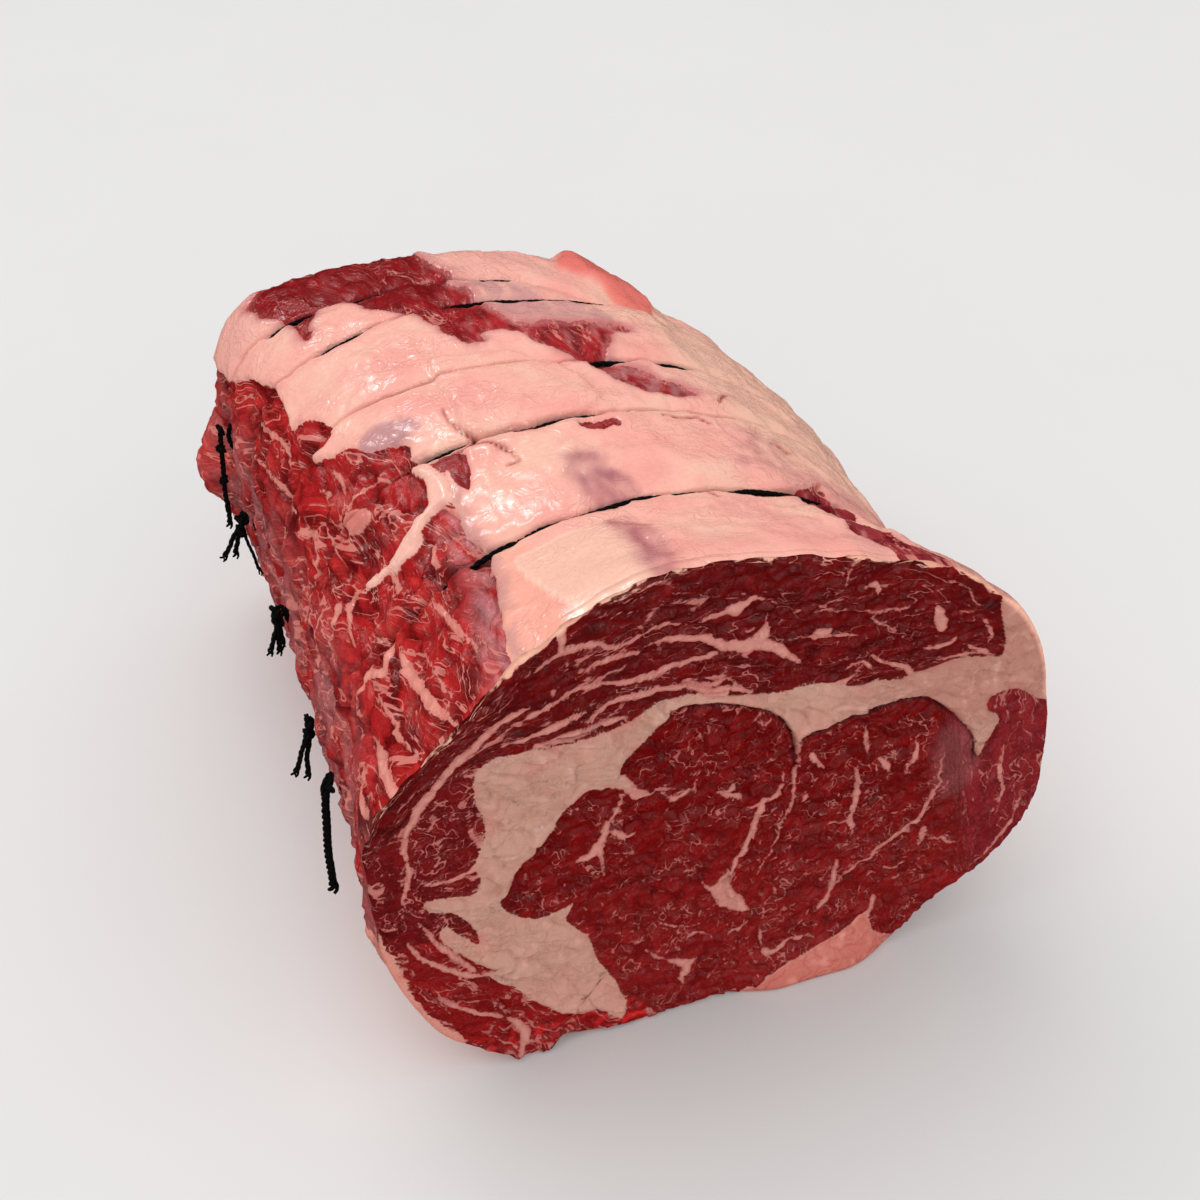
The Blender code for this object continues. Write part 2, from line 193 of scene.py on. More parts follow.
# pale streaks: x, z and half width
VEINS = (
    ((16.5, 95, 0.9), (17, 88, 0.5), (16.5, 82, 0.6), (16.5, 74, 0.5), (14, 66, 0.4), (12, 58, 0.3), (8, 47, 0.1)),
    ((13.5, 86, 0.2), (12, 78, 0.6), (8, 76, 0.9), (6.5, 69, 1.0), (4, 61, 0.9), (1, 54, 0.9), (-2.5, 48.5, 1.2)),
    ((8, 76, 0.8), (5, 75, 0.5), (2, 74, 0.1)),
    ((7, 70, 0.7), (10, 71, 0.4), (13, 73, 0.1)),
    ((-31, 98, 1.3), (-28.5, 94, 1.5), (-26, 91, 1.3), (-21, 90, 0.6), (-17, 90, 0.2)),
    ((-20, 89, 0.2), (-16, 86, 0.5), (-12, 88, 0.5), (-11, 91, 0.3)),
    ((-30.5, 92, 0.7), (-32.5, 87, 0.7), (-35, 81, 0.9), (-37, 76, 1.5), (-40, 73.5, 1.2), (-43, 73, 0.3)),
    ((-37, 76, 1.2), (-36, 70, 0.5), (-35.5, 64, 0.2)),
    ((-33, 80.5, 0.9), (-30, 77.5, 1.0), (-27.5, 77.5, 0.6)),
    ((35, 93, 0.3), (36.5, 87, 0.7), (37, 83, 0.2)),
    ((34, 79, 0.5), (35, 73, 0.8), (35, 66, 1.0), (34.5, 60, 0.8), (35.5, 55, 0.7), (34, 50, 0.2)),
    ((35, 58, 0.7), (31, 59.5, 0.5), (28, 59.5, 0.1)),
    ((32, 44, 0.3), (32, 38, 0.9), (31.5, 34, 0.6), (30, 29, 1.0), (28, 26, 0.8), (26.5, 24.5, 0.1)),
    ((60.5, 76, 0.3), (60.5, 70, 0.5), (60.5, 64, 0.5), (58.5, 58, 0.7), (56, 52, 0.8), (50.5, 47, 0.7), (43, 42, 0.5), (37, 38, 0.4),
     (31.5, 34, 0.4)),
    ((46, 22, 0.9), (44.5, 18, 1.5), (42, 14.5, 2.0)),
    ((-23.5, 29, 0.3), (-20, 25, 0.6), (-15, 21, 0.6), (-10.5, 19, 1.7), (-7.5, 19.5, 0.2)),
    ((-11, 19, 1.7), (-12.5, 14, 0.9), (-12, 9, 0.2)),
    ((-22, 39, 0.2), (-18.5, 38, 0.5), (-13, 34, 0.3), (-8, 34, 0.1)),
    ((-14, 28, 0.2), (-9, 31, 0.5), (-4, 27, 0.2)),
    ((-2.5, 82, 1.0), (0.5, 80, 1.2), (2, 78.5, 0.2)),
    ((-6, 84, 0.1), (-2.5, 83, 0.8), (0, 85, 0.2)),
    ((20, 74.5, 0.3), (20.3, 73, 0.9), (19.5, 71, 0.3)),
    ((20.5, 88, 0.9), (22.5, 85, 0.9), (24.5, 82, 0.3)),
    ((13, 13.5, 1.4), (16, 13.5, 0.9), (21, 16, 0.5), (27, 14.5, 0.3)),
    ((10, 26, 0.2), (10.7, 21, 0.6), (11, 16, 0.2)),
    ((1, 26, 0.3), (4, 28, 0.8), (6, 30, 0.1)),
    ((58, 39, 0.3), (59, 46, 0.6), (61, 42, 0.3), (64.5, 40, 0.4), (69, 37, 0.3), (72, 38, 0.1)),
    ((47, 35, 0.2), (50, 33.5, 0.6), (54, 35, 0.2)),
    ((79, 72, 0.3), (79.5, 62, 0.8), (82, 53, 0.5), (80, 46, 0.2)),
    ((89, 50, 0.2), (87, 40, 0.6), (82, 31, 0.6), (76, 24, 0.3)),
    ((51, 83, 0.4), (51.5, 79, 0.9), (50, 75, 0.7), (49, 71, 0.2)),
    ((41, 80, 0.4), (43, 77, 1.0), (44, 74, 0.3)),
    ((-60, 36, 0.2), (-56, 30, 0.6), (-50, 20, 0.6), (-43, 11.5, 0.9), (-38, 9.5, 0.4)),
    ((-80, 33, 0.5), (-73, 25, 0.9), (-67, 21, 0.6), (-62, 17, 0.3)),
    ((-64, 19, 0.3), (-60, 14, 1.2), (-58.5, 8, 1.5), (-60, 3, 0.8)),
    ((-84, 66, 0.3), (-81, 59, 0.7), (-77, 51, 0.9), (-71, 42, 0.8)),
    ((-87, 59, 0.4), (-84, 52, 0.8), (-79, 46.5, 0.9), (-73, 41, 0.9), (-66, 38, 0.6)),
    ((-85.5, 94, 0.4), (-85, 84, 0.7), (-87, 75, 0.5), (-85, 70, 0.1)),
    ((-82, 80, 0.4), (-76, 78.5, 0.6), (-71, 79.5, 0.8), (-68, 82, 0.8)),
    ((-69.5, 101, 0.3), (-69, 93, 0.5), (-67, 88, 0.8)),
    # the cap
    ((-53, 130, 0.3), (-57, 128, 0.9), (-62, 125.5, 1.1), (-67, 121, 1.2), (-73, 116, 1.2), (-77, 111, 1.1), (-81, 106, 1.2), (-84, 100, 1.0), (-86, 93, 0.6)),
    ((-40, 124, 0.5), (-47, 121.5, 1.1), (-53, 120, 0.8), (-60, 119, 0.7)),
    ((-31, 118.8, 1.0), (-37, 117.8, 1.3), (-44, 117, 1.4), (-52, 116.5, 1.0)),
    ((-44, 129.5, 0.3), (-49, 128.5, 0.9), (-55, 126, 0.7), (-60, 123, 0.2)),
    ((-37, 148, 0.1), (-32, 150.5, 0.4), (-26, 150, 0.3), (-16, 151.5, 0.1)),
    ((-52, 140, 0.3), (-46, 143.5, 1.1), (-39, 144, 1.0), (-33, 141, 0.6), (-29, 142, 0.6), (-21, 144, 0.8), (-15, 142, 0.3)),
    ((-45, 151, 0.9), (-45.5, 147, 1.2), (-46, 143, 0.8)),
    ((-13, 142, 0.3), (-8, 143.5, 0.8), (-3, 144, 1.6), (1, 145.5, 0.9), (7, 143, 0.2)),
    ((-24, 139.5, 0.3), (-17, 139, 1.3), (-11, 137, 1.2), (-6, 133.5, 1.5), (0, 132, 2.2), (4, 133.5, 1.9), (4.5, 137.5, 0.7)),
    ((2, 132, 1.9), (7, 129.5, 1.9), (11, 125.5, 1.2), (15.5, 121, 0.3)),
    ((-27, 129, 0.5), (-21, 130.5, 1.2), (-14, 131, 1.1), (-8, 132, 0.9)),
    ((-42, 136.5, 0.2), (-36, 138, 0.8), (-29, 138.5, 0.6), (-24, 139.5, 0.4)),
    ((-50, 127.5, 0.3), (-43, 131, 0.9), (-36, 131, 0.8), (-30, 129.5, 0.9), (-26, 130, 0.8)),
    ((-41, 119.5, 0.3), (-38, 121, 0.7), (-34, 124.5, 0.9), (-28, 125, 1.0), (-22, 124.5, 1.1), (-16, 124, 1.0), (-10, 120.5, 1.1), (-4, 119.5, 1.0), (2, 117, 0.7)),
    ((-16, 118.5, 0.8), (-11, 119, 1.1), (-5, 118, 1.2)),
    ((11, 130.5, 0.3), (18, 129.3, 0.7), (26, 127, 0.6), (33, 124.5, 0.2)),
    ((17, 138, 0.2), (23, 136, 0.5), (31, 133.5, 0.4), (38, 131.5, 0.5), (45, 131.5, 0.2)),
    ((18.5, 130.5, 1.4), (20.5, 130, 1.6)),
    ((51, 127.5, 1.5), (52.3, 124, 2.0), (53, 121, 1.3)),
    ((29.5, 141.5, 0.5), (32.5, 141, 1.1), (33, 137.5, 0.2)),
    ((48, 116.5, 0.3), (53, 115.5, 0.9), (59, 117.5, 0.3)),
    ((34.5, 118, 0.5), (39, 114, 0.7), (43.5, 112, 0.9), (46, 109, 1.0)),
    ((53, 111, 0.6), (62, 110, 0.6), (68, 109, 0.5)),
    ((60, 114, 0.3), (65, 110.5, 0.8), (70, 107.5, 0.6)),
    ((23, 112.5, 0.7), (28, 112, 0.9), (31.5, 116, 0.3)),
    ((23, 140, 0.2), (25, 147, 0.4), (25.5, 150, 0.2)),
    ((42, 121, 0.2), (45, 129, 0.4), (54, 130, 0.2)),
    ((27, 115.5, 0.2), (32, 117, 0.6), (35.5, 112, 0.4)),
    ((64, 122, 0.3), (67, 117, 0.7), (68, 113, 0.4)),
)
PATCHES = (
    ((-8.5, 51.5), (-6, 49), (-3.5, 49.5), (-1.5, 52), (0, 49), (1.5, 44.5), (5, 38), (7, 33), (3, 35), (-2, 38), (-4, 42), (-5.5, 46)),
)
# creases sunk into the cut face, painted dark as shade: x, z and half width
CREASES = (
    ((17, 94.5, 0.0), (26, 97, 0.2), (35, 98.3, 0.35), (44, 99.3, 0.3), (51, 98.3, 0.1), (57, 93.5, 0.0)),
    ((57, 93.5, 0.0), (63, 87, -0.1), (68, 79.5, 0.0), (70.5, 70.5, 0.2)),
    ((-19, 117.3, 0.0), (-8, 115.2, 0.0), (2, 110.9, 0.05), (10, 105, 0.1), (14.3, 98, 0.15), (16, 93, 0.2)),
    ((15.6, 93, 0.2), (16, 86, 0.05), (15, 78, -0.1)),
    ((-50, 116.7, -0.1), (-36, 116.5, 0.05), (-31, 117.2, 0.0)),
)
# thickness of the pale rind that shows round the cut, by angle about the middle of the cut
RIND = ((0, 0.2), (14, 0.3), (17, 0.3), (40, 0.7), (46, 1.2), (51, 0.6), (58, 0.2), (66, 0.3), (74, 0.1), (80, -0.2),
        (88, -0.3), (96, -0.2), (105, 0.2), (113, 0.9), (119, 1.4), (124, 1.0), (128, 0.0), (131, -1.6), (150, -1.8),
        (176, -1.6), (184, 0.2), (230, 0.0), (290, 0.0), (360, 0.2))


def polar(x, z, mid_x, mid_z):
    return np.degrees(np.arctan2(z - mid_z, x - mid_x)) % 360, np.hypot(x - mid_x, z - mid_z)


def by_angle(points, closed, mid_x, mid_z):
    """Radius as a function of angle for an outline."""
    line = curve(points, closed, 8)
    angle, radius = polar(line[:, 0], line[:, 1], mid_x, mid_z)
    order = np.argsort(angle)
    return angle[order], radius[order]


def look_up(angle, table):
    return np.interp(angle, table[0], table[1], period=360)


def face_fields(x, z):
    shake_x = 1.1 * noise(x / 6, z / 6, 1) + 0.45 * noise(x / 2.1, z / 2.1, 2)
    shake_z = 1.1 * noise(x / 6, z / 6, 3) + 0.45 * noise(x / 2.1, z / 2.1, 4)
    wx, wz = x + shake_x, z + shake_z
    fx, fz = x + 0.3 * shake_x, z + 0.3 * shake_z

    angle, radius = polar(x, z, ARC_X, ARC_Z)
    high = look_up(angle, by_angle(RIM, True, ARC_X, ARC_Z))
    low = look_up(angle, by_angle(CAP_UNDER, False, ARC_X, ARC_Z))
    up = (radius - low) / np.maximum(high - low, 5)
    cap = ramp(up, -0.01, 0.01) * ((angle > 22) & (angle < 165))
    girth, reach = polar(x, z, MID_X, MID_Z)
    rim = look_up(girth, by_angle(RIM, True, MID_X, MID_Z))
    depth = rim - reach                                   # distance in from the rim

    seam = inside(fx, fz, SEAM)
    strip = inside(fx, fz, STRIP)
    low_edge = inside(wx, wz, LOW_EDGE)
    rind = between(girth, RIND) + 0.5 * noise(girth / 2.2, up * 0, 8) + 0.8 * noise(girth / 4.5, up * 0, 9) * ramp(girth, 40, 60) - depth
    body = np.maximum.reduce([seam, strip, low_edge, rind])

    below = z < 62 - 1.05 * (x + 76)
    left = (1 - cap) * (x < -58) * (z > 58)
    low_left = (1 - cap) * (1 - left) * below * (x < -20)
    right = (1 - cap) * ramp(x - 0.25 * (75 - z), 60, 66)
    eye = np.clip(1 - cap - left - low_left - right, 0, 1)

    # streaks of fat between bundles of lean: lines where noise crosses zero, present where much of it
    along = np.radians(angle) * 88
    across = np.clip(up, -0.2, 1.2) * 38
    w_along = along + 3.0 * noise(along / 15, across / 8, 10)
    w_across = across + 1.3 * noise(along / 7, across / 5, 11)
    finer = ramp(x, -5, 25)
    much = noise(along / 20, across / 8, 12) + 0.35 * noise(along / 7, across / 3, 13)
    long_streak = -0.12 - 0.28 * finer + 0.75 * much - 3.0 * np.abs(noise(w_along / 17, w_across / 4.6, 14))
    short_streak = -0.16 + 0.44 * noise(along / 10, across / 5, 15) - 2.0 * np.abs(noise(w_along / 9.5, w_across / 3.2, 16))
    cap_fat = np.maximum(long_streak, short_streak - 0.04 * finer)
    b1, f1, r1, q1, ox1, oy1 = cells(w_along / 7.0, w_across / 2.8, 21)

    b3, f3, r3, q3, ox3, oy3 = cells(wx / 4.6, wz / 4.6, 31)
    patchy = noise(x / 8, z / 8, 32)
    left_fat = 0.0 + 0.75 * patchy - 2.6 * np.abs(noise(wx / 4.6, wz / 5.2, 33))

    sx, sz = (x * 0.72 - z * 0.69), (x * 0.69 + z * 0.72)     # along and across the low left muscle
    b4, f4, r4, q4, ox4, oy4 = cells((sx + shake_x) / 6.5, (sz + shake_z) / 3.0, 41)
    low_fat = 0.10 + 0.55 * noise(sx / 12, sz / 6, 42) - 2.0 * np.abs(noise((sx + shake_x) / 9, (sz + shake_z) / 3.2, 43))

    b5, f5, r5, q5, ox5, oy5 = cells(wx / 4.4, wz / 3.8, 51)
    some = noise(x / 10, z / 9, 53) + 0.4 * noise(x / 4, z / 4, 54)
    eye_fat = -0.36 + 0.55 * some - 2.6 * np.abs(noise(wx / 5.4, wz / 4.8, 52))
    # short flecks
    b6, f6, r6, q6, ox6, oy6 = cells(x / 3.4 + 0.5 * noise(x / 4, z / 4, 57), z / 3.4, 58)
    turn = 2 * math.pi * q6
    fleck = 0.30 - np.hypot(3.4 * (ox6 * np.cos(turn) + oy6 * np.sin(turn)) / 3.0, 3.4 * (oy6 * np.cos(turn) - ox6 * np.sin(turn)))
    fleck = np.where(r6 < 0.20, fleck, -1)
    eye_fat = np.maximum(eye_fat, fleck)

    b7, f7, r7, q7, ox7, oy7 = cells(wx / 2.8 + 3, (wz + 0.5 * x) / 8.0, 61)
    right_fat = -0.10 + 0.45 * noise(x / 5, z / 14, 62) - 1.7 * np.abs(noise((wx + 0.25 * z) / 3.0 + 3, wz / 9.0, 63))

    net = cap * cap_fat + left * left_fat + low_left * low_fat + right * right_fat + eye * eye_fat
    net = np.where(body > -0.6, np.minimum(net, 0.5 * net), net)
    drawn = np.full(x.shape, -8.0)
    for line in VEINS:
        drawn = np.maximum(drawn, stroke(fx, fz, line))
    for patch in PATCHES:
        drawn = np.maximum(drawn, inside(fx, fz, patch))
    drawn = drawn + 0.30 * noise(x / 1.8, z / 1.8, 71) + 0.25 * noise(x / 4, z / 4, 72) - 0.15 * cap
    crease = np.full(x.shape, -8.0)
    for line in CREASES:
        crease = np.maximum(crease, stroke(fx, fz, line))
    fat = np.maximum.reduce([net, drawn, body])
    pick = np.where(cap > 0.5, r1, np.where(left > 0.5, r3, np.where(low_left > 0.5, r4, np.where(right > 0.5, r7, r5))))
    pick2 = np.where(cap > 0.5, q1, np.where(left > 0.5, q3, np.where(low_left > 0.5, q4, np.where(right > 0.5, q7, q5))))
    cap_flow = np.stack([w_along / 2.6, w_across, 0 * x], -1)
    low_flow = np.stack([(sx + shake_x) / 2.2, sz + shake_z, 0 * x + 30], -1)
    right_flow = np.stack([wx + 0.25 * z, wz / 3.0, 0 * x + 60], -1)
    plain_flow = np.stack([wx, wz, 0 * x + 90], -1)
    flow = plain_flow * (1 - right)[..., None] + right_flow * right[..., None]
    flow = np.where(low_left[..., None] > 0.5, low_flow, flow)
    flow = np.where(cap[..., None] > 0.5, cap_flow, flow)
    return dict(flow=flow, fat=fat, body=body, seam=seam, strip=strip, low_edge=low_edge, rind=rind, crease=crease, cap=cap, left=left,
                low_left=low_left, right=right, eye=eye, depth=depth, pick=pick, pick2=pick2, drawn=drawn, net=net,
                b5=b5, ox5=ox5, oy5=oy5)


# ---------------------------------------------------------------- the outside of the roast

# tie: distance back from the cut face, slide forward on the right
TIES = ((50.0, 0.0), (93.0, 0.0), (127.0, 0.0), (170.0, 0.0), (195.0, 21.0))
# how far the ties come forward over the top: by angle in mm, and each one's share of that by distance
TOP_FORWARD = ((0, 0.0), (20, 2.5), (40, 4.2), (75, 4.6), (90, 4.0), (100, 3.2), (112, 2.0), (120, 1.2), (132, 0.0),
               (360, 0.0))
LEFT_FORWARD = ((110, 0.0), (122, 4.5), (131, 8.0), (139, 7.5), (148, 3.5), (160, 0.0), (360, 0.0))
LEFT_SHARE = ((132, 0.0), (170, 1.0), (195, 1.0), (216, 0.0))
FORWARD_SHARE = ((20, 0.0), (50, 1.0), (93, 0.9), (127, 0.9), (170, 0.45), (195, 1.0), (222, 0.0))
# how much slimmer the far right side is than the CAD solid: by distance in mm, and its share by angle
TRIM = ((70, 0.0), (85, 0.8), (100, 2.5), (116, 3.5), (132, 6.0), (147, 7.2), (163, 6.5), (172, 5.8), (178, 5.5),
        (191, 8.0), (200, 10.0), (208, 12.5), (218, 11.5), (222, 9.5), (226, 7.5))
TRIM_SHARE = ((-25, 0.0), (-5, 0.1), (7, 0.4), (19, 1.0), (29, 0.95), (38, 0.62), (48, 0.44), (56, 0.1), (62, 0.0))
TRIM_SHARE_REAR = ((-25, 0.0), (-5, 0.1), (7, 0.4), (19, 0.95), (24, 1.0), (29, 0.85), (34, 0.65), (38, 0.45),
                   (43, 0.25), (50, 0.08), (62, 0.0))
SLIDE_STOP = 36.0
REAR_ROUNDING = 14.0
# how open each tie's crease is, by angle
TIE_OPEN = (
    ((20, 0.3), (58, 0.6), (61, 1.0), (72, 1.0), (75, 0.35), (88, 0.25), (92, 0.9), (98, 0.6), (101, 0.4),
     (106, 0.25), (111, 0.6), (115, 0.3), (120, 0.9), (123.5, 0.9), (126, 0.0), (360, 0.0)),
    ((20, 0.2), (80, 0.2), (88, 0.3), (92, 1.0), (100, 0.9), (103, 0.3), (115, 0.25), (119, 0.8), (124, 0.7),
     (128, 0.0), (360, 0.0)),
    ((20, 0.2), (55, 0.4), (60, 1.0), (63, 0.9), (67, 0.3), (72, 0.4), (74, 1.0), (79, 1.0), (83, 0.2), (360, 0.0)),
    ((20, 0.4), (60, 0.7), (64, 1.0), (103, 1.0), (107, 0.2), (122, 0.2), (125, 0.8), (131, 0.9), (134, 0.1),
     (360, 0.0)),
    ((20, 0.4), (62, 0.8), (66, 1.0), (92, 1.0), (97, 0.35), (130, 0.2), (133, 0.85), (139, 0.8), (141, 0.1),
     (360, 0.0)),
)
# left edge of the fat cover, as (angle, distance)
FAT_EDGE = ((-5, 123.5), (5, 123.5), (15, 122.5), (25, 122), (35, 121.5), (45, 121.3), (52, 122), (58, 123.3),
            (66, 122.8), (72, 122.5), (78, 121.8), (84, 121.5), (88, 121.8), (92, 124), (96, 125.5), (100, 124.5),
            (103, 126.5), (105, 130), (107, 132), (110, 133), (114, 135), (116, 138), (119, 140), (122, 142),
            (123.5, 138), (127, 136), (132, 137), (137, 139), (139, 142), (142, 143.5), (150, 143), (158, 142.5),
            (165, 143.5), (171, 145), (178, 147), (183, 149), (190, 152), (200, 155), (230, 158))
BAND = ((133.8, 171), (134.5, 186), (137, 192), (140, 199), (141, 208), (138, 218), (132, 226), (124, 232), (110, 232),
        (106, 222), (104, 210), (101, 200), (99, 195), (102, 186), (99, 180), (97.5, 175), (98, 170), (97, 163),
        (96, 158), (95, 152), (92, 148), (88, 146), (82, 145), (75, 144), (69, 144), (66, 141), (70, 139), (73, 137),
        (75, 131), (77, 126), (79, 121.5), (77, 120), (73, 117), (70, 110), (66, 105), (65, 98), (74, 98), (77, 101),
        (79.5, 106), (81, 112), (82.5, 117), (84, 122), (86, 126), (89, 130), (91, 134), (93, 138), (95, 141),
        (98, 143.5), (101.5, 143), (102.5, 139), (104.5, 138.5), (107, 142), (109, 148), (110.5, 154), (112, 160),
        (113, 166), (115, 170), (118, 173), (121, 178), (122.5, 183), (125.3, 187.6), (128, 189.5), (130.2, 186.7),
        (131.6, 179), (132.3, 171))
MEMBRANE = ((71, 143), (80, 146), (90, 147), (94, 152), (96, 160), (97.5, 170), (98, 178), (101, 186), (98, 192), (93, 187), (86, 181),
            (79, 172), (74, 164), (70, 155))
RED_WINDOW = ((87.5, 79), (90, 78), (94.5, 80), (94.5, 84), (91, 84.5), (88, 83))
PURPLE_PATCH = ((101, 70), (98, 70.5), (96, 68), (95, 63), (94.5, 59), (93, 53), (92.5, 49), (95, 46.5), (99, 46), (101.5, 48),
                (101.5, 56), (102.5, 62), (101, 66))
PURPLE_STREAK = ((101.5, 36), (98, 34), (96, 27), (96.3, 18), (97, 8), (97.5, -2), (101, -2), (101.5, 10), (101, 22))
RIGHT_LEAN = ((62, 46), (58, 49), (54, 51), (52, 44), (52.5, 33), (52, 23), (53, 10), (51, 0), (48, -8), (61, -8),
              (61.5, 2), (63, 10), (63.5, 20), (64, 30), (63.5, 38))
SWIRL = ((70, 58), (66, 56), (60, 59), (55, 66), (54, 76), (58, 82), (62, 78), (65, 70))
TIP = ((64, 203), (61, 211), (57, 219), (52, 226), (44, 222), (40, 205), (41, 186), (45, 175), (50, 172), (55, 178), (55.5, 190),
       (60, 197))
GREY_PATCH = ((133, 108), (131, 113), (127, 114), (123.5, 111), (122.5, 106), (124, 102), (127, 102.5), (130, 104), (132, 105))
NOTCH = ((121.5, 90), (117, 88.5), (117.3, 82), (117.8, 76), (119, 72), (120.5, 77), (121, 84))
WAVY_SEAM = ((126.5, 92), (124, 91.5), (122.5, 88), (121.8, 82), (122, 76), (123, 72), (126.5, 71.5), (128.5, 69),
             (130, 66.5), (132, 64), (134.5, 63), (137, 64), (138.5, 66.5), (141, 66), (143.5, 68), (144.8, 70.5),
             (142, 70), (139, 69.5), (137, 69), (134, 70), (131.5, 72.5), (129, 74.5), (126.5, 76.5), (125.8, 80),
             (125.5, 85), (126.3, 89))
LUMP = ((142, 94), (142.5, 90), (141, 86), (138, 85.5), (136.5, 88), (137, 92.5), (139.5, 95))
FOLD_WINDOW = ((137.5, 123), (136.5, 127), (138, 132), (140.5, 138), (142.5, 140), (146, 137), (146, 128), (142, 124))
LOW_FAT = ((184, -6), (184, 3), (187, 12), (191, 20), (197, 28), (206, 44), (212, 70), (216, 110), (216, 160), (212, 240), (236, 240), (236, -6))
BLOCK = ((100.5, -6), (100.2, 8), (100, 20), (100.8, 34), (104, 38), (109, 38.5), (117, 38.5), (116.8, 28), (114.5, 14), (112.5, 4),
         (111.5, -6))
SLAB = ((114.4, 134), (114.7, 120), (114.2, 107), (114, 94), (108, 91), (98, 90), (89, 93), (87.5, 103), (91.5, 121), (100.5, 131.5),
        (109, 132.5))
# thin dark cuts and folds in the fat: angle, distance and half width in mm
CUTS = (
    ((101, 34.5, 0.1), (98.8, 33, 0.35), (97, 31, 0.45), (95.4, 28.8, 0.15)),
    ((116.5, 108, 0.0), (116.2, 101, 0.15), (115.2, 95.5, 0.3), (114, 91.5, 0.6), (115.5, 89.5, 0.5), (121, 89.3, 0.3)),
    ((115, 89.5, 0.3), (112.3, 87, 0.35), (110.5, 83.5, 0.3), (109, 80, 0.15)),
    ((109, 80, 0.0), (108.8, 75, 0.2), (111, 75.5, 0.05)),
    ((52.5, 54, 0.1), (55.5, 49, 0.3), (58.5, 44, 0.35), (61.5, 40.5, 0.3)),
    ((108, 90, 0.1), (104, 88.8, 0.2), (101, 88, 0.3)),
    ((80.5, 43.5, 0.2), (80, 41, 0.25), (79.6, 39.5, 0.0)),
    ((77.5, 83.5, 0.2), (74.5, 82, 0.3), (71, 82, 0.25), (68, 79, 0.1)),
    ((56.5, 73, 0.2), (54, 71.5, 0.5), (52.5, 71, 0.2)),
    ((60, 96, 0.1), (56, 103, 0.4), (52.5, 104, 0.1)),
)
# pale strands on the lean of the side: angle, distance and half width in mm
SIDE_STRANDS = (
    ((149.5, -2, 1.8), (150.5, 8, 1.5), (151, 16, 1.2), (152.5, 26, 0.4)),
    ((135.5, 0, 0.3), (137.5, 8, 1.2), (138.5, 14, 1.5), (139.7, 22, 1.2), (141.3, 31, 1.6), (142.8, 41, 0.6)),
    ((127, 8, 0.1), (128.3, 18, 0.7), (129.8, 27, 0.8), (131.5, 37, 0.9), (133, 46, 0.2)),
    ((133.5, 2, 0.3), (135, 12, 0.5), (136, 24, 0.5), (138, 33, 0.2)),
    ((143.5, 2, 0.3), (145.5, 14, 0.7), (147, 26, 0.6), (149, 38, 0.3)),
    ((156, 4, 1.4), (157.5, 10, 1.0), (156, 17, 0.6), (153, 22, 0.4)),
    ((153.5, 45, 0.8), (151, 47.5, 1.6), (149.5, 44.5, 1.3), (147, 42.5, 1.8), (145, 45, 1.4), (144, 47.5, 0.5)),
    ((138, 57, 0.6), (138.5, 62, 1.2), (138.2, 66, 0.8)),
    ((129.5, 54, 0.6), (130, 58, 1.3), (129, 63, 0.4)),
    ((152, 60, 0.5), (150.5, 68, 1.0), (148, 73, 0.8), (145, 71, 0.5)),
    ((170, 71, 0.2), (165, 76, 0.5), (160, 80, 0.6), (155, 81.5, 0.6), (150, 82, 0.5), (146, 81, 0.2)),
    ((158, 72, 0.4), (154.5, 74, 1.2), (152.5, 76, 1.6), (151, 77, 0.4)),
    ((160, 84, 0.3), (155, 92, 0.6), (151, 96, 0.6), (149, 102, 0.7), (151, 108, 1.0), (153, 112, 0.6)),
    ((143, 112, 0.4), (142, 107, 0.8), (143.5, 101, 0.6), (144, 97, 0.3)),
    ((139, 112, 0.6), (138.2, 106, 0.9), (139, 101, 0.3)),
    ((130.5, 93, 0.6), (133, 96, 0.5), (138, 97, 0.5), (143, 95.5, 0.4), (144, 93, 0.2)),
    ((147, 82, 0.2), (146, 88, 0.6), (147, 95, 0.3)),
    ((148, 130, 0.3), (147, 142, 0.8), (149, 155, 0.6), (151, 165, 0.2)),
    ((152, 120, 0.4), (153, 134, 0.8), (155, 150, 0.5), (157, 166, 0.4)),
)


def to_girth(points):
    """Outline points from (angle, distance) to (girth in mm, distance), with any width kept."""
    return tuple((GIRTH_MM * point[0],) + tuple(point[1:]) for point in points)


def ridge(x, y, seed):
    """1 on thin wandering lines and falling away from them."""
    return 1.0 - 2.0 * np.abs(noise(x, y, seed))


def table(value, pairs):
    return np.interp(value, [pair[0] for pair in pairs], [pair[1] for pair in pairs])


def forward(angle, row):
    """How far a row comes forward of its own distance at an angle."""
    return (between(angle % 360, TOP_FORWARD) * table(row, FORWARD_SHARE)
            + between(angle % 360, LEFT_FORWARD) * table(row, LEFT_SHARE))


def trimmed(angle, distance):
    """How much the radius is less than that of the CAD solid."""
    angle = (angle + 90) % 360 - 90
    rear = ramp(distance, 178, 192)
    return table(distance, TRIM) * ((1 - rear) * table(angle, TRIM_SHARE) + rear * table(angle, TRIM_SHARE_REAR))


def tie_place(distance, angle, x, tie):
    """Distance behind a tie's own line at a place on the roast."""
    return distance - tie[0] + tie[1] * ramp(x, 0, SLIDE_STOP) + forward(angle, tie[0])


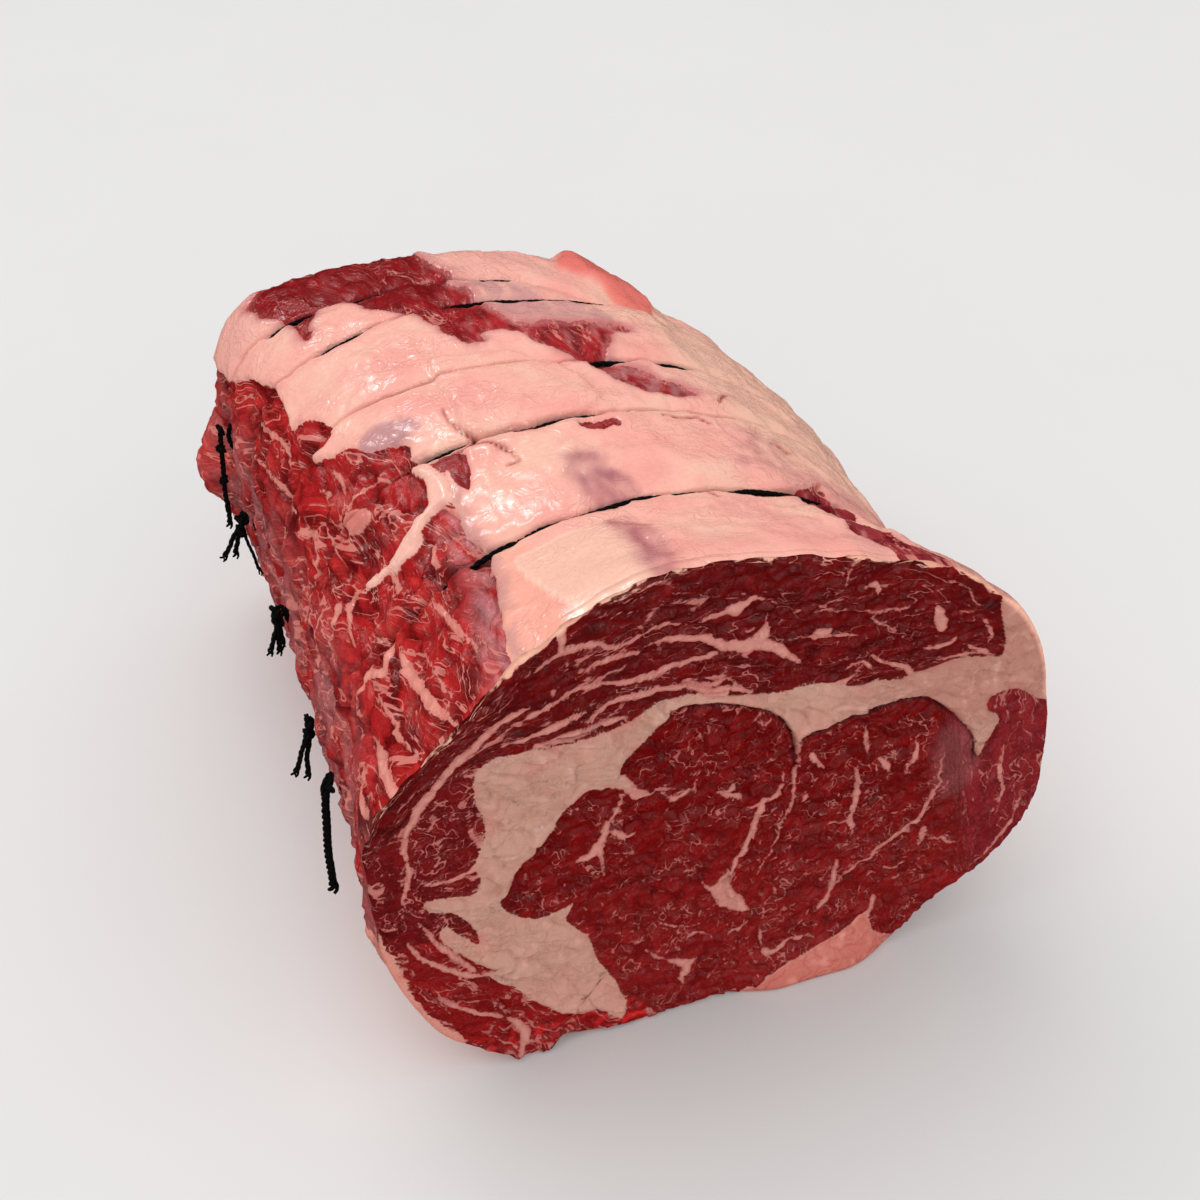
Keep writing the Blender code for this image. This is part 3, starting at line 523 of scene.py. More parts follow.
def crease_fields(angle, distance, x):
    """How deep the ties pull the surface in, and how much painted shade darkens the creases."""
    depth = np.zeros(angle.shape)
    crease_shade = np.zeros(angle.shape)
    for number, tie in enumerate(TIES):
        away = tie_place(distance, angle, x, tie)
        away = away + 0.55 * noise(GIRTH_MM * angle / 14, number * 3.3, 300 + number) + 0.25 * noise(GIRTH_MM * angle / 4, number * 3.3, 310 + number)
        opened = between(angle % 360, TIE_OPEN[number])
        hidden = ramp(angle % 360, 124, 134) * (1 - ramp(angle % 360, 180, 200))
        pillow = (1.5 + 1.6 * opened) * (1 - 0.3 * hidden)
        reach = 8.5 + 1.0 * opened
        bowl = np.maximum(1 - np.abs(away) / reach, 0) ** 2.6
        half = 0.35 + 1.2 * opened
        slit = 1 - ramp(np.abs(away), 0.35 * half, half + 0.4)
        drop = (1.5 + 1.9 * opened) * (1 - 0.45 * hidden)
        depth = np.maximum(depth, pillow * bowl + drop * slit)
        crease_shade = np.maximum(crease_shade, slit * (0.5 + 0.5 * opened) * (1 - 0.6 * hidden))
    return depth, crease_shade


def body_fields(angle, distance, x):
    """Signed distances and shares of every kind of tissue on the outside, in mm."""
    angle = (angle + 90) % 360 - 90
    girth = GIRTH_MM * angle
    wobble = 0.9 * noise(girth / 6, distance / 6, 101) + 0.4 * noise(girth / 2.3, distance / 2.3, 102)
    wobble2 = 0.9 * noise(girth / 6, distance / 6, 103) + 0.4 * noise(girth / 2.3, distance / 2.3, 104)
    wg, wd = girth + wobble, distance + wobble2

    def area(points, smooth=True):
        return inside(wg, wd, to_girth(points), smooth=smooth)

    edge = np.interp(distance, [p[0] for p in FAT_EDGE], [p[1] for p in FAT_EDGE])
    cover = GIRTH_MM * (edge - angle) + 0.7 * wobble
    band = area(BAND)
    window = area(RED_WINDOW)
    right = area(RIGHT_LEAN)
    notch = area(NOTCH)
    holes = np.maximum.reduce([band, window, right, notch, area(FOLD_WINDOW)])
    flank = 6.0 * noise(distance / 30, angle / 40, 105) + GIRTH_MM * (-9 - angle)    # right flank, unseen
    fat = np.minimum(cover, -holes)
    fat = np.minimum(fat, -flank)
    low = area(LOW_FAT, False)
    seam = area(WAVY_SEAM)
    lump = area(LUMP) - 0.2
    fat = np.maximum.reduce([fat, low, seam, lump])
    strands = np.full(angle.shape, -8.0)
    for line in SIDE_STRANDS:
        strands = np.maximum(strands, stroke(girth + 0.5 * wobble, distance + 0.5 * wobble2, to_girth(line)))
    strands = strands + 0.35 * noise(girth / 1.6, distance / 5, 106)
    # fine strands run along the roast, and lean a little
    lean_g = girth - 0.10 * distance
    drift = noise(girth / 11, distance / 22, 107)
    much = noise(girth / 13, distance / 26, 110) + 0.35 * noise(girth / 5, distance / 9, 111)
    wide = -0.42 + 0.46 * much - 2.6 * np.abs(noise(lean_g / 3.8 + 0.8 * drift, distance / 19, 108))
    cross = -0.36 + 0.46 * noise(girth / 11, distance / 11, 113) \
        - 2.4 * np.abs(noise((girth + 0.55 * distance) / 4.2, (distance - 0.5 * girth) / 15, 114))
    net = np.maximum(wide, cross)
    far = ramp(angle, 150, 168) * (1 - ramp(angle, 205, 225))
    net = net + 0.2 * far
    net = np.where(fat > -0.8, np.minimum(net, -0.2), net)
    net = np.where(notch > -0.3, -1.0, net)
    net = np.where(window > -0.3, -1.0, net)
    under = ramp(angle, 222, 238) + (1 - ramp(angle, -62, -42))
    cuts = np.full(angle.shape, -8.0)
    for line in CUTS:
        cuts = np.maximum(cuts, stroke(girth + 0.4 * wobble, distance + 0.4 * wobble2, to_girth(line)))
    return dict(cuts=cuts, block=inside(girth, distance, to_girth(BLOCK)), girth=girth, cover=cover, band=band, window=window, right=right, notch=notch, flank=flank, fat=fat,
                low=low, seam=seam, lump=lump, strands=strands, net=net, far=far, under=np.clip(under, 0, 1),
                membrane=area(MEMBRANE), patch=area(PURPLE_PATCH), streak=area(PURPLE_STREAK),
                drift=drift, swirl=area(SWIRL), tip=area(TIP), grey=area(GREY_PATCH), much=much, wobble=wobble)


# ---------------------------------------------------------------- colours

def tint(red, green, blue, light=1.0):
    """Surface colour from a seen colour of 0 to 255 and the share of light that falls there."""
    seen = np.array([red, green, blue]) / 255
    linear = np.where(seen <= 0.04045, seen / 12.92, ((seen + 0.055) / 1.055) ** 2.4)
    return linear / light


def blend(colour, other, share):
    share = np.clip(share, 0, 1)[..., None]
    return colour * (1 - share) + np.asarray(other) * share


def body_colours(angle, distance, x):
    angle = (angle + 90) % 360 - 90
    f = body_fields(angle, distance, x)
    girth = f["girth"]
    top = 0.92                     # light that falls on the upper side
    side = 0.85
    shape = angle.shape + (3,)
    lean = np.broadcast_to(tint(168, 24, 26, side), shape).copy()
    mottle = noise(girth / 5, distance / 14, 121)
    lean = blend(lean, tint(104, 2, 6, side), ramp(mottle + 0.7 * noise(girth / 15, distance / 24, 179), 0.0, 0.8))
    lean = blend(lean, tint(186, 44, 40, side), 0.7 * ramp(-mottle, 0.05, 0.9))
    # painted shade: lean darkened in the sunken gaps between the side's chunks
    gap = cells((girth - 0.1 * distance) / 12 + 0.3 * f["much"], distance / 17 + 0.2 * f["wobble"], 159)[0]
    lean = blend(lean, tint(84, 2, 5, side), 0.65 * (1 - ramp(gap, 0.0, 0.09)) * (1 - ramp(f["band"], -1, 1)))
    fine = noise((girth - 0.1 * distance) / 1.4, distance / 7, 122)
    lean = lean * (1 + 0.12 * fine)[..., None]
    soft = noise((girth + 0.3 * distance) / 6, distance / 12, 140) + 0.5 * noise(girth / 2.5, distance / 6, 155)
    lean = blend(lean, tint(200, 92, 84, side), 0.28 * ramp(soft, 0.3, 1.0) * (1 - ramp(f["right"], -1, 1)))
    veil = 0.75 * f["far"] * ramp(noise(girth / 7, distance / 20, 123) + 0.4 * fine, -0.7, 0.5)
    lean = blend(lean, tint(158, 96, 98, side), veil)
    film = ramp(f["cover"], -11, -1) * (1 - ramp(distance, 66, 80)) * (1 - ramp(f["cover"], -0.5, 0.5))
    film = film * ramp(noise((girth - 0.3 * distance) / 2.2, distance / 9, 180) + 0.5 * f["much"], -0.5, 0.5)
    lean = blend(lean, tint(198, 134, 138, side), 0.72 * film)
    inner = ramp(f["band"], -0.5, 1.0)
    band_lean = np.broadcast_to(tint(172, 34, 40, top), shape)
    band_lean = blend(band_lean, tint(128, 16, 22, top), ramp(noise(girth / 6, distance / 9, 124), -0.2, 0.7))
    band_lean = blend(band_lean, tint(192, 110, 112, top), 0.7 * ramp(noise(girth / 4, distance / 12, 125), 0.15, 0.8))
    band_lean = blend(band_lean, tint(190, 112, 112, top), 0.8 * (1 - ramp(f["band"], 0.2, 2.6)))
    deep = ramp(angle, 100, 108)[..., None] * np.ones(3)
    band_lean = band_lean * (1 - deep) + deep * blend(band_lean, tint(132, 8, 16, top), 0.78 + 0 * angle)
    lean = blend(lean, band_lean, inner)
    grey = ramp(f["membrane"], -3, 4)
    lean = blend(lean, tint(197, 138, 136, top), grey)
    mix = (1 - ramp(angle, 76, 86)) * (1 - ramp(distance, 116, 124)) * inner
    lean = blend(lean, tint(186, 122, 124, top), 0.85 * mix * ramp(noise(girth / 4, distance / 6, 126), -0.5, 0.5))
    purple = ramp(f["right"], -0.5, 1.0)
    right = np.broadcast_to(tint(160, 52, 60, 0.95), shape)
    right = blend(right, tint(128, 14, 30, 0.95), ramp(noise((girth + 0.4 * distance) / 4, distance / 16, 127), -0.4, 0.5))
    right = blend(right, tint(206, 130, 126, 0.95), 0.7 * ramp(noise(girth / 3 + 0.2 * distance, distance / 12, 128), 0.3, 0.9))
    lean = blend(lean, right, purple)
    flank = ramp(f["flank"], -2, 6)
    lean = blend(lean, tint(150, 58, 58, side), 0.7 * flank)
    lean = blend(lean, tint(190, 118, 112, side), 0.6 * flank * ramp(noise(girth / 10, distance / 26, 129), -0.3, 0.6))
    lean = blend(lean, tint(206, 140, 126, side), 0.75 * f["under"])
    lean = blend(lean, tint(150, 36, 40, top), ramp(f["window"], -1, 0) + ramp(f["notch"], -1, 0))
    lobe = np.exp(-((angle - 176) / 10) ** 2 - ((distance - 215) / 11) ** 2)
    lean = blend(lean, tint(196, 56, 54, side), 0.8 * lobe)

    fat = np.broadcast_to(tint(247, 180, 165, top), shape).copy()
    blush = layered(girth / 24, distance / 20, 131, 3)
    fat = blend(fat, tint(243, 164, 153, top), 0.85 * ramp(blush, -0.1, 0.6))
    fat = blend(fat, tint(244, 194, 172, top), 0.85 * ramp(-blush, 0.05, 0.6))
    spots = noise(girth / 9, distance / 7, 132) + 0.4 * noise(girth / 3, distance / 3, 133)
    fat = blend(fat, tint(240, 150, 138, top), 0.30 * ramp(spots, 0.35, 0.9))
    cream = (1 - ramp(angle, 54, 66)) * ramp(distance, 58, 68)
    fat = blend(fat, tint(240, 192, 168, top), 0.7 * cream)
    fat = blend(fat, tint(250, 172, 150, top), 0.7 * ramp(angle, 112, 115) * (1 - ramp(distance, 40, 48)))
    block = ramp(f["block"], -0.8, 0.5)
    fat = blend(fat, tint(246, 194, 172, top), 0.9 * block)
    # painted highlight: a pale line along the edge of the raised fat block
    fat = blend(fat, tint(250, 214, 194, top), 0.5 * (1 - ramp(np.abs(f["block"] - 0.3), 0.2, 0.9)) * (angle > 104))
    veil = (1 - ramp(angle, 62, 68)) * (1 - ramp(distance, 56, 64))
    fat = blend(fat, tint(214, 142, 136, top), 0.62 * veil * ramp(noise((girth + 0.3 * distance) / 7, distance / 19, 138), -1.2, 0.6))
    fat = blend(fat, tint(188, 84, 68, top), 0.75 * ramp(f["cuts"], -0.9, 0.1))
    fat = blend(fat, tint(120, 30, 18, top), 0.85 * ramp(f["cuts"], -0.2, 0.3))
    back = ramp(distance, 178, 200)
    fat = blend(fat, tint(242, 176, 163, top), 0.7 * back)
    haze = ramp(f["membrane"] + 1.5 * f["wobble"], -4, 3) * ramp(noise(girth / 5, distance / 8, 137), -1.1, 0.1)
    fat = blend(fat, tint(206, 148, 146, top), 0.8 * haze)
    fat = blend(fat, tint(206, 136, 134, top), 0.75 * ramp(f["band"], -4.0, -0.3))
    swirl = ramp(f["swirl"], -5, 3)
    fat = blend(fat, tint(205, 138, 134, top), 0.65 * swirl * ramp(noise(girth / 4, distance / 5, 134), -0.6, 0.5))
    mottled = 0.72 + 0.45 * noise(girth / 3.5, distance / 6, 139)
    fat = blend(fat, tint(176, 110, 116, top), mottled * ramp(f["patch"] + 1.2 * f["wobble"], -3.0, 2.0))
    fat = blend(fat, tint(190, 118, 122, top), mottled * ramp(f["streak"] + 1.2 * f["wobble"], -2.5, 1.8))
    fat = blend(fat, tint(232, 112, 104, top), 0.9 * ramp(f["tip"] + f["wobble"], -3, 1.5))
    fat = blend(fat, tint(190, 136, 138, top), 0.9 * ramp(f["grey"] + f["wobble"], -2.0, 1.5))
    silver = (1 - ramp(f["cover"], 2.2, 4.8)) * (distance < 96) * (f["lump"] < -1)
    fat = blend(fat, tint(206, 148, 142, top), 0.75 * silver * ramp(noise(girth / 3, distance / 9, 135), -0.9, 0.2))
    fat = blend(fat, tint(236, 180, 164, 0.84), ramp(f["seam"], -0.6, 0.4))
    fat = blend(fat, tint(206, 120, 110, side), ramp(f["lump"], -0.6, 0.6) * (f["cover"] < 0))
    fat = blend(fat, tint(216, 138, 122, side), ramp(f["low"], -0.6, 0.6))
    strand = 1 - ramp(f["fat"], -0.8, 0.0)
    fat = blend(fat, tint(208, 122, 112, side), strand)
    fat = blend(fat, tint(228, 156, 140, side), 0.7 * strand * ramp(np.maximum(f["strands"], f["net"]), 0.3, 1.2))
    share = np.maximum.reduce([f["fat"], f["strands"] * (f["notch"] < -0.3) - 8.0 * (f["notch"] >= -0.3), f["net"]])
    # inside the red band and the right zone, thin pale threads
    thread = -0.05 + 0.4 * f["much"] - 1.6 * np.abs(noise(girth / 3.2 + 0.6 * f["much"], distance / 9, 136))
    thread = thread - 0.25 * ramp(angle, 98, 108) - 0.3 * ramp(f["right"], -1, 1)
    share = np.where((f["band"] > 0.3) | (f["right"] > 0.3), np.maximum(share, thread), share)
    edge_red = 1 - ramp(np.abs(f["band"]), 0, 1.6)
    fat = blend(fat, tint(196, 96, 96, top), 0.5 * edge_red)
    depth, crease_shade = crease_fields(angle, distance, x)
    # painted shade: lean and fat darkened inside the sunken tie creases
    lean = lean * (1 - 0.8 * crease_shade)[..., None]
    fat = fat * (1 - 0.62 * crease_shade)[..., None]
    return f, lean, fat, share


def body_lift(angle, distance, x, f):
    """How far the outside stands above its smooth form, in mm."""
    angle = (angle + 90) % 360 - 90
    girth = f["girth"]
    depth, _ = crease_fields(angle, distance, x)
    lift = 0.9 * layered(girth / 30, distance / 26, 141, 3) + 0.35 * noise(girth / 9, distance / 9, 142)
    border, _, pick, other, from_x, from_y = cells(girth / 21 + 0.25 * f["much"], distance / 17 + 0.2 * f["wobble"], 147)
    lift = lift + 2.6 * (from_x * (pick - 0.5) + from_y * (other - 0.5)) * ramp(border, 0.0, 0.10)
    ripple = noise((girth + 0.5 * distance) / 9, (distance - 0.3 * girth) / 19, 148)
    lift = lift + 0.30 * (1 - ramp(np.abs(ripple), 0.0, 0.2)) * ramp(noise(girth / 17, distance / 15, 149), 0.0, 0.5) \
        * ramp(angle, 74, 84)
    upper = ramp(angle, -20, 20) * (1 - ramp(angle, 200, 225))
    cover = ramp(f["fat"], -0.6, 1.2)
    beyond = ramp(f["fat"], 0.5, 9.0)
    lift = lift + (1.0 * cover * (1 - 0.75 * beyond) - 0.15) * upper - 0.4 * (1 - cover) * upper
    lift = lift + 0.12 * noise(girth / 3, distance / 3, 143) * cover
    strand = ramp(np.maximum(f["strands"], 0.7 * f["net"]), -0.8, 0.8) * (1 - cover)
    lift = lift + 0.35 * strand
    grain = noise((girth - 0.1 * distance) / 2.3, distance / 9, 144)
    chunk = noise((girth - 0.1 * distance) / 5.5, distance / 13, 145)
    ridged = 1 - np.abs(noise((girth - 0.1 * distance) / 4.2 + 0.5 * f["much"], distance / 16, 150)) * 2
    calm = 1 - 0.65 * ramp(f["band"], -1, 1) - 0.5 * ramp(f["right"], -1, 1)
    lift = lift + (1 - cover) * calm * (0.50 * grain + 0.55 * chunk + 0.75 * ridged)
    lift = lift + 1.5 * ramp(inside(girth, distance, to_girth(SLAB)), -1.2, 1.2) - 0.4
    gap, _, pick, other, from_x, from_y = cells((girth - 0.1 * distance) / 12 + 0.3 * f["much"], distance / 17 + 0.2 * f["wobble"], 159)
    lift = lift + (1 - cover) * calm * (2.4 * (from_x * (pick - 0.5) + from_y * (other - 0.5)) - 0.9 * (1 - ramp(gap, 0.0, 0.07)))
    lift = lift - 0.7 * ramp(f["cuts"], -0.6, 0.3) + 0.8 * ramp(f["block"], -2.5, 1.0) * (1 - ramp(distance, 30, 40))
    lift = lift + 2.2 * ramp(f["tip"], -2.5, 2.5)
    lift = lift + 1.2 * np.exp(-((angle - 55) / 4.5) ** 2 - ((distance - 214) / 9) ** 2)
    lift = lift + 1.7 * ramp(angle, 148, 162) * (1 - ramp(angle, 190, 206)) * (1 - ramp(distance, 182, 196))
    lift = lift + 4.0 * np.exp(-((angle - 176) / 10) ** 2 - ((distance - 215) / 10) ** 2)
    lift = lift - 2.6 * np.exp(-((angle - 138) / 9) ** 2 - ((distance - 222) / 9) ** 2)
    lift = lift + 0.8 * ramp(f["seam"], -0.6, 0.8) + 0.7 * ramp(f["lump"], -0.6, 1.5)
    step = noise(girth / 4, 0 * girth, 146)                    # the side's lean breaks along the first tie
    lift = lift + 1.0 * ramp(distance, 49 + 1.5 * step, 50.6 + 1.5 * step) * (1 - ramp(distance, 51, 60)) \
        * ramp(angle, 122, 126) * (1 - ramp(angle, 156, 164))
    lift = np.where(angle % 360 > 236, np.where(angle % 360 < 300, 0.3 * lift, lift), lift)
    return lift - depth


def face_colours(x, z):
    f = face_fields(x, z)
    light = 0.74
    fat_light = 0.70
    shape = x.shape + (3,)
    down = ramp(95 - z, 0, 85)
    eye = blend(np.broadcast_to(tint(110, 0, 1, light), shape), tint(128, 18, 19, light), down)
    cap = np.broadcast_to(tint(101, 2, 3, light), shape)
    cap = blend(cap, tint(78, 0, 1, light), 0.8 * ramp(noise(x / 7, z / 4, 151) + 0.6 * (f["pick"] - 0.5), -0.1, 0.7))
    left = np.broadcast_to(tint(104, 8, 11, light), shape)
    low = np.broadcast_to(tint(128, 12, 14, light), shape)
    low = blend(low, tint(184, 26, 28, light), ramp(noise(x / 3.5, z / 2.5, 158), -0.1, 0.6) * (1 - ramp(z, 6, 20)))
    right = np.broadcast_to(tint(124, 26, 32, light), shape)
    lean = f["eye"][..., None] * eye + f["cap"][..., None] * cap + f["left"][..., None] * left \
        + f["low_left"][..., None] * low + f["right"][..., None] * right
    lean = lean * (0.80 + 0.30 * f["pick"] + 0.06 * noise(x / 2.2, z / 2.2, 152)
                   + 0.10 * noise(x / 9, z / 9, 153))[..., None]
    pink = ramp(noise(x / 3.2, z / 3.2, 154) + 0.5 * noise(x / 1.3, z / 1.3, 155), 0.35, 1.0)
    lean = blend(lean, tint(146, 46, 45, light), 0.25 * pink)
    lean = blend(lean, tint(140, 82, 84, light), 0.45 * ramp(inside(x, z, ((58, 84), (69, 80), (71, 66), (66, 58), (60, 64))), -4, 3))

    fat = np.broadcast_to(tint(182, 136, 121, fat_light), shape).copy()
    fat = blend(fat, tint(192, 128, 114, fat_light), 0.6 * ramp(layered(x / 12, z / 12, 156, 3), 0.0, 0.6))
    fat = blend(fat, tint(186, 146, 130, fat_light), 0.6 * ramp(-layered(x / 12, z / 12, 156, 3), 0.0, 0.6))
    fat = blend(fat, tint(168, 112, 100, fat_light), 0.7 * ramp(x, 15, 55) * ramp(z, 80, 90))
    border = cells(x / 9 + 0.3 * noise(x / 5, z / 5, 169), (z + 0.4 * x) / 6.5, 170)[0]
    fat = blend(fat, tint(160, 104, 92, fat_light), 0.3 * (1 - ramp(border, 0.0, 0.07)) * ramp(f["seam"], 0.5, 2.0))
    fat = blend(fat, tint(204, 158, 144, fat_light), 0.5 * ramp(noise(x / 3.5, z / 5, 174), 0.2, 0.9) * ramp(f["seam"], 0.5, 2.0))
    fat = blend(fat, tint(196, 140, 126, fat_light), 0.6 * ramp(40 - z, 0, 25))
    streak = np.maximum(f["drawn"], f["net"])
    vein = 1 - ramp(f["body"], -0.7, -0.1)
    fat = blend(fat, tint(170, 96, 90, fat_light), vein)
    fat = blend(fat, tint(192, 130, 119, fat_light), 0.85 * vein * ramp(streak, 0.15, 0.8))
    fat = blend(fat, tint(188, 106, 94, fat_light), ramp(f["strip"], -0.4, 0.8))
    fat = blend(fat, tint(210, 138, 124, fat_light), 0.7 * ramp(f["strip"], -0.4, 0.8) * ramp(noise((x - z) / 7, (x + z) / 4, 176), 0.1, 0.7))
    fat = blend(fat, tint(172, 70, 66, fat_light), 0.6 * ramp(f["strip"], -0.4, 0.8) * (1 - ramp(np.abs(noise(x / 8, (z + 0.3 * x) / 5, 177)), 0.0, 0.12)))
    fat = blend(fat, tint(200, 130, 116, fat_light), ramp(f["low_edge"], -0.4, 0.8))
    # the fat rind round the cut and a band along the upper rim, painted brighter than the face's fat as light falling
    # on the rounded edge
    rind_and_lit_rim = ramp(f["rind"], -0.3, 0.3) * ramp(z, 60, 90)
    rind_and_lit_rim = np.maximum(rind_and_lit_rim, (1 - ramp(f["depth"], 0.6, 1.8)) * ramp(z, 80, 100))
    fat = blend(fat, tint(246, 184, 160, 0.80), rind_and_lit_rim)
    red_edge = 1 - ramp(np.abs(f["body"] - 0.4), 0.2, 1.5)
    fat = blend(fat, tint(170, 78, 72, fat_light), 0.30 * red_edge * ramp(noise(x / 5, z / 5, 157), -0.2, 0.6))
    # painted shade: lean and fat darkened along the sunken creases of the cut face
    crease_shade = ramp(f["crease"], -0.8, 0.3)
    lean = blend(lean, tint(40, 2, 2, light), 0.9 * crease_shade)
    fat = blend(fat, tint(84, 16, 14, light), 0.9 * crease_shade)
    return f, lean, fat, f["fat"]


FOLDS = (((-66, 94, 0.3), (-59, 93, 0.3), (-53, 96, 0.3), (-45, 100, 0.3)), ((-67, 81, 0.2), (-63, 86, 0.2), (-59, 90, 0.2)),
         ((-54, 48, 0.2), (-51, 34, 0.3), (-42, 28, 0.2)), ((-62, 46, 0.2), (-56, 40, 0.2), (-50, 41, 0.2)),
         ((-50, 110, 0.2), (-40, 107, 0.3), (-30, 108, 0.2)), ((-62, 108, 0.2), (-58, 103, 0.3), (-56, 97, 0.2)),
         ((24, 104, 0.2), (34, 103, 0.3), (46, 105, 0.3), (60, 103, 0.2)), ((62, 97, 0.2), (70, 100, 0.3), (80, 97, 0.2)))


def face_lift(x, z, f, at_front):
    """How far the cut face stands forward of its flat plane, in mm."""
    fat = ramp(f["seam"], -0.3, 1.2)
    lift = 0.7 * layered(x / 34, z / 34, 161, 2)
    lift = lift + 0.55 * fat + 0.8 * fat * noise(x / 8, z / 8, 162)
    border, _, pick, other, from_x, from_y = cells(x / 9 + 0.3 * noise(x / 5, z / 5, 169), (z + 0.4 * x) / 6.5, 170)
    lift = lift + 4.2 * fat * (from_x * (pick - 0.5) + from_y * (other - 0.5)) * ramp(border, 0.0, 0.05)
    wrinkle = noise((x + z) / 3.5, (z - x) / 8, 171)
    lift = lift + 0.35 * fat * (1 - ramp(np.abs(wrinkle), 0.0, 0.3))
    fold = np.full(x.shape, -8.0)
    for line in FOLDS:
        fold = np.maximum(fold, stroke(x + 0.8 * noise(x / 4, z / 4, 163), z, line))
    lift = lift - 0.45 * ramp(fold, -0.9, 0.2) + 0.25 * ramp(fold, -2.4, -0.9)
    lean = 1 - ramp(f["body"], -0.6, 0.4)
    tilt = 3.0 * (f["ox5"] * (f["pick"] - 0.5) + f["oy5"] * (f["pick2"] - 0.5))
    lift = lift + lean * (tilt * (0.35 + 0.65 * f["eye"]) + 0.30 * noise(x / 3.4, z / 2.6, 164) + 0.10 * noise(x / 1.5, z / 1.5, 165))
    lift = lift + 0.45 * f["cap"] * lean * noise(x / 5, z / 2.2, 166)
    lift = lift + 0.18 * ramp(f["fat"], -0.4, 0.4) * lean
    lift = lift - 1.3 * ramp(f["crease"], -0.9, 0.4)
    bulge = ramp(x, 0, 18) * (1 - ramp(x, 36, 58)) * (1 - ramp(z, 1, 17)) + 0.25 * ramp(x, -60, -30) * (1 - ramp(x, 0, 18)) * (1 - ramp(z, 1, 10))
    ragged = ramp(x, -84, -70) * (1 - ramp(x, -52, -44)) * (1 - ramp(z, 2, 12))
    if at_front:
        lift = lift + 5.4 * bulge + ragged * (2.0 + 1.6 * noise(x / 4, z / 4, 167))
    bend = 0.9 + 0.3 * noise(x / 7, z / 7, 168)
    turn = np.clip(1 - f["depth"] / bend, 0, 1)
    return lift * (1 - turn) - 0.8 * (1 - np.sqrt(np.maximum(1 - turn * turn, 0)))


# ---------------------------------------------------------------- meshes

ROW_KEYS = (4, 20, 38, 60, 72, 83, 103, 110, 117, 137, 148, 160, 184, 206, 212, 217, 221, 224, 225.8)


def row_slide(row):
    """How far a row leans forward on its right side, so that the rows follow the ties."""
    knots = [(0.0, 0.0)] + list(TIES) + [(LENGTH - REAR_ROUNDING, 0.0), (LENGTH, 0.0)]
    return np.interp(row, [knot[0] for knot in knots], [knot[1] for knot in knots])


def read_radii(angles):
    """Radius of the CAD roast about its axis for every angle, at rows clear of the twine grooves."""
    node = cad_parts["roast"]
    points = [vertex.co for vertex in node.data.vertices]
    tree = BVHTree.FromPolygons(points, [tuple(face.vertices) for face in node.data.polygons])
    radii = np.zeros((len(ROW_KEYS), len(angles)))
    for i, row in enumerate(ROW_KEYS):
        for j, angle in enumerate(angles):
            across, up = math.cos(math.radians(angle)), math.sin(math.radians(angle))
            reach, slide = 60.0, float(row_slide(row))
            for _ in range(3 if slide and across > -0.2 else 1):
                x = MID_X + reach * across
                y = row - slide * float(ramp(np.array(x), 0, SLIDE_STOP))
                start = Vector((MID_X * MM, (y - LENGTH / 2) * MM, MID_Z * MM))
                hit = tree.ray_cast(start, Vector((across, 0, up)))
                reach = hit[3] / MM
            radii[i, j] = reach
    return radii


def smooth_round(values, angles, spread):
    """Averages values over neighbouring angles."""
    gap = (angles[:, None] - angles[None, :] + 180) % 360 - 180
    step = np.gradient(np.concatenate([angles, [angles[0] + 360]]))[:-1]
    weight = np.exp(-0.5 * (gap / spread) ** 2) * step[None, :]
    weight = weight / weight.sum(1, keepdims=True)
    return values @ weight.T


def along_rows(rows, keys, values):
    """Cubic curves through the values at the keys, read at the rows."""
    keys = np.array(keys, float)
    slope = np.gradient(values, keys, axis=0)
    index = np.clip(np.searchsorted(keys, rows) - 1, 0, len(keys) - 2)
    span = keys[index + 1] - keys[index]
    t = np.clip((rows - keys[index]) / span, 0, 1)[:, None]
    span = span[:, None]
    return ((2 * t ** 3 - 3 * t ** 2 + 1) * values[index] + (t ** 3 - 2 * t ** 2 + t) * span * slope[index]
            + (3 * t ** 2 - 2 * t ** 3) * values[index + 1] + (t ** 3 - t ** 2) * span * slope[index + 1])


RIM_LINE = curve(RIM, True, 10)
TURN = np.degrees(np.arctan2(RIM_LINE[:, 1] - MID_Z, RIM_LINE[:, 0] - MID_X)) % 360
PUSH = 0.7 * noise(TURN / 5.5, 0 * TURN, 178) * ramp(TURN, 30, 50) * (1 - ramp(TURN, 170, 200))
RIM_LINE = RIM_LINE + PUSH[:, None] * np.stack([np.cos(np.radians(TURN)), np.sin(np.radians(TURN))], 1)
RIM_TABLE = by_angle(RIM_LINE, False, MID_X, MID_Z)


def base_surface(angles, rows):
    """The smooth outside of the roast as x, y and z for every row and angle."""
    radii = smooth_round(read_radii(angles), angles, 2.2)
    radius = along_rows(np.array(rows), ROW_KEYS, radii)
    rim = look_up(angles % 360, RIM_TABLE)
    near = (1 - ramp(np.array(rows), 1, 20))[:, None]
    radius = radius * (1 - near) + rim[None, :] * near
    across, up = np.cos(np.radians(angles))[None, :], np.sin(np.radians(angles))[None, :]
    row = np.array(rows, float)[:, None]
    y = row - row_slide(row) * ramp(MID_X + radius * across, 0, SLIDE_STOP) - forward(angles[None, :], row)
    radius = radius - trimmed(angles[None, :], y)
    x = MID_X + radius * across
    z = np.maximum(MID_Z + radius * up, 0.1)
    return x, y, z, radius


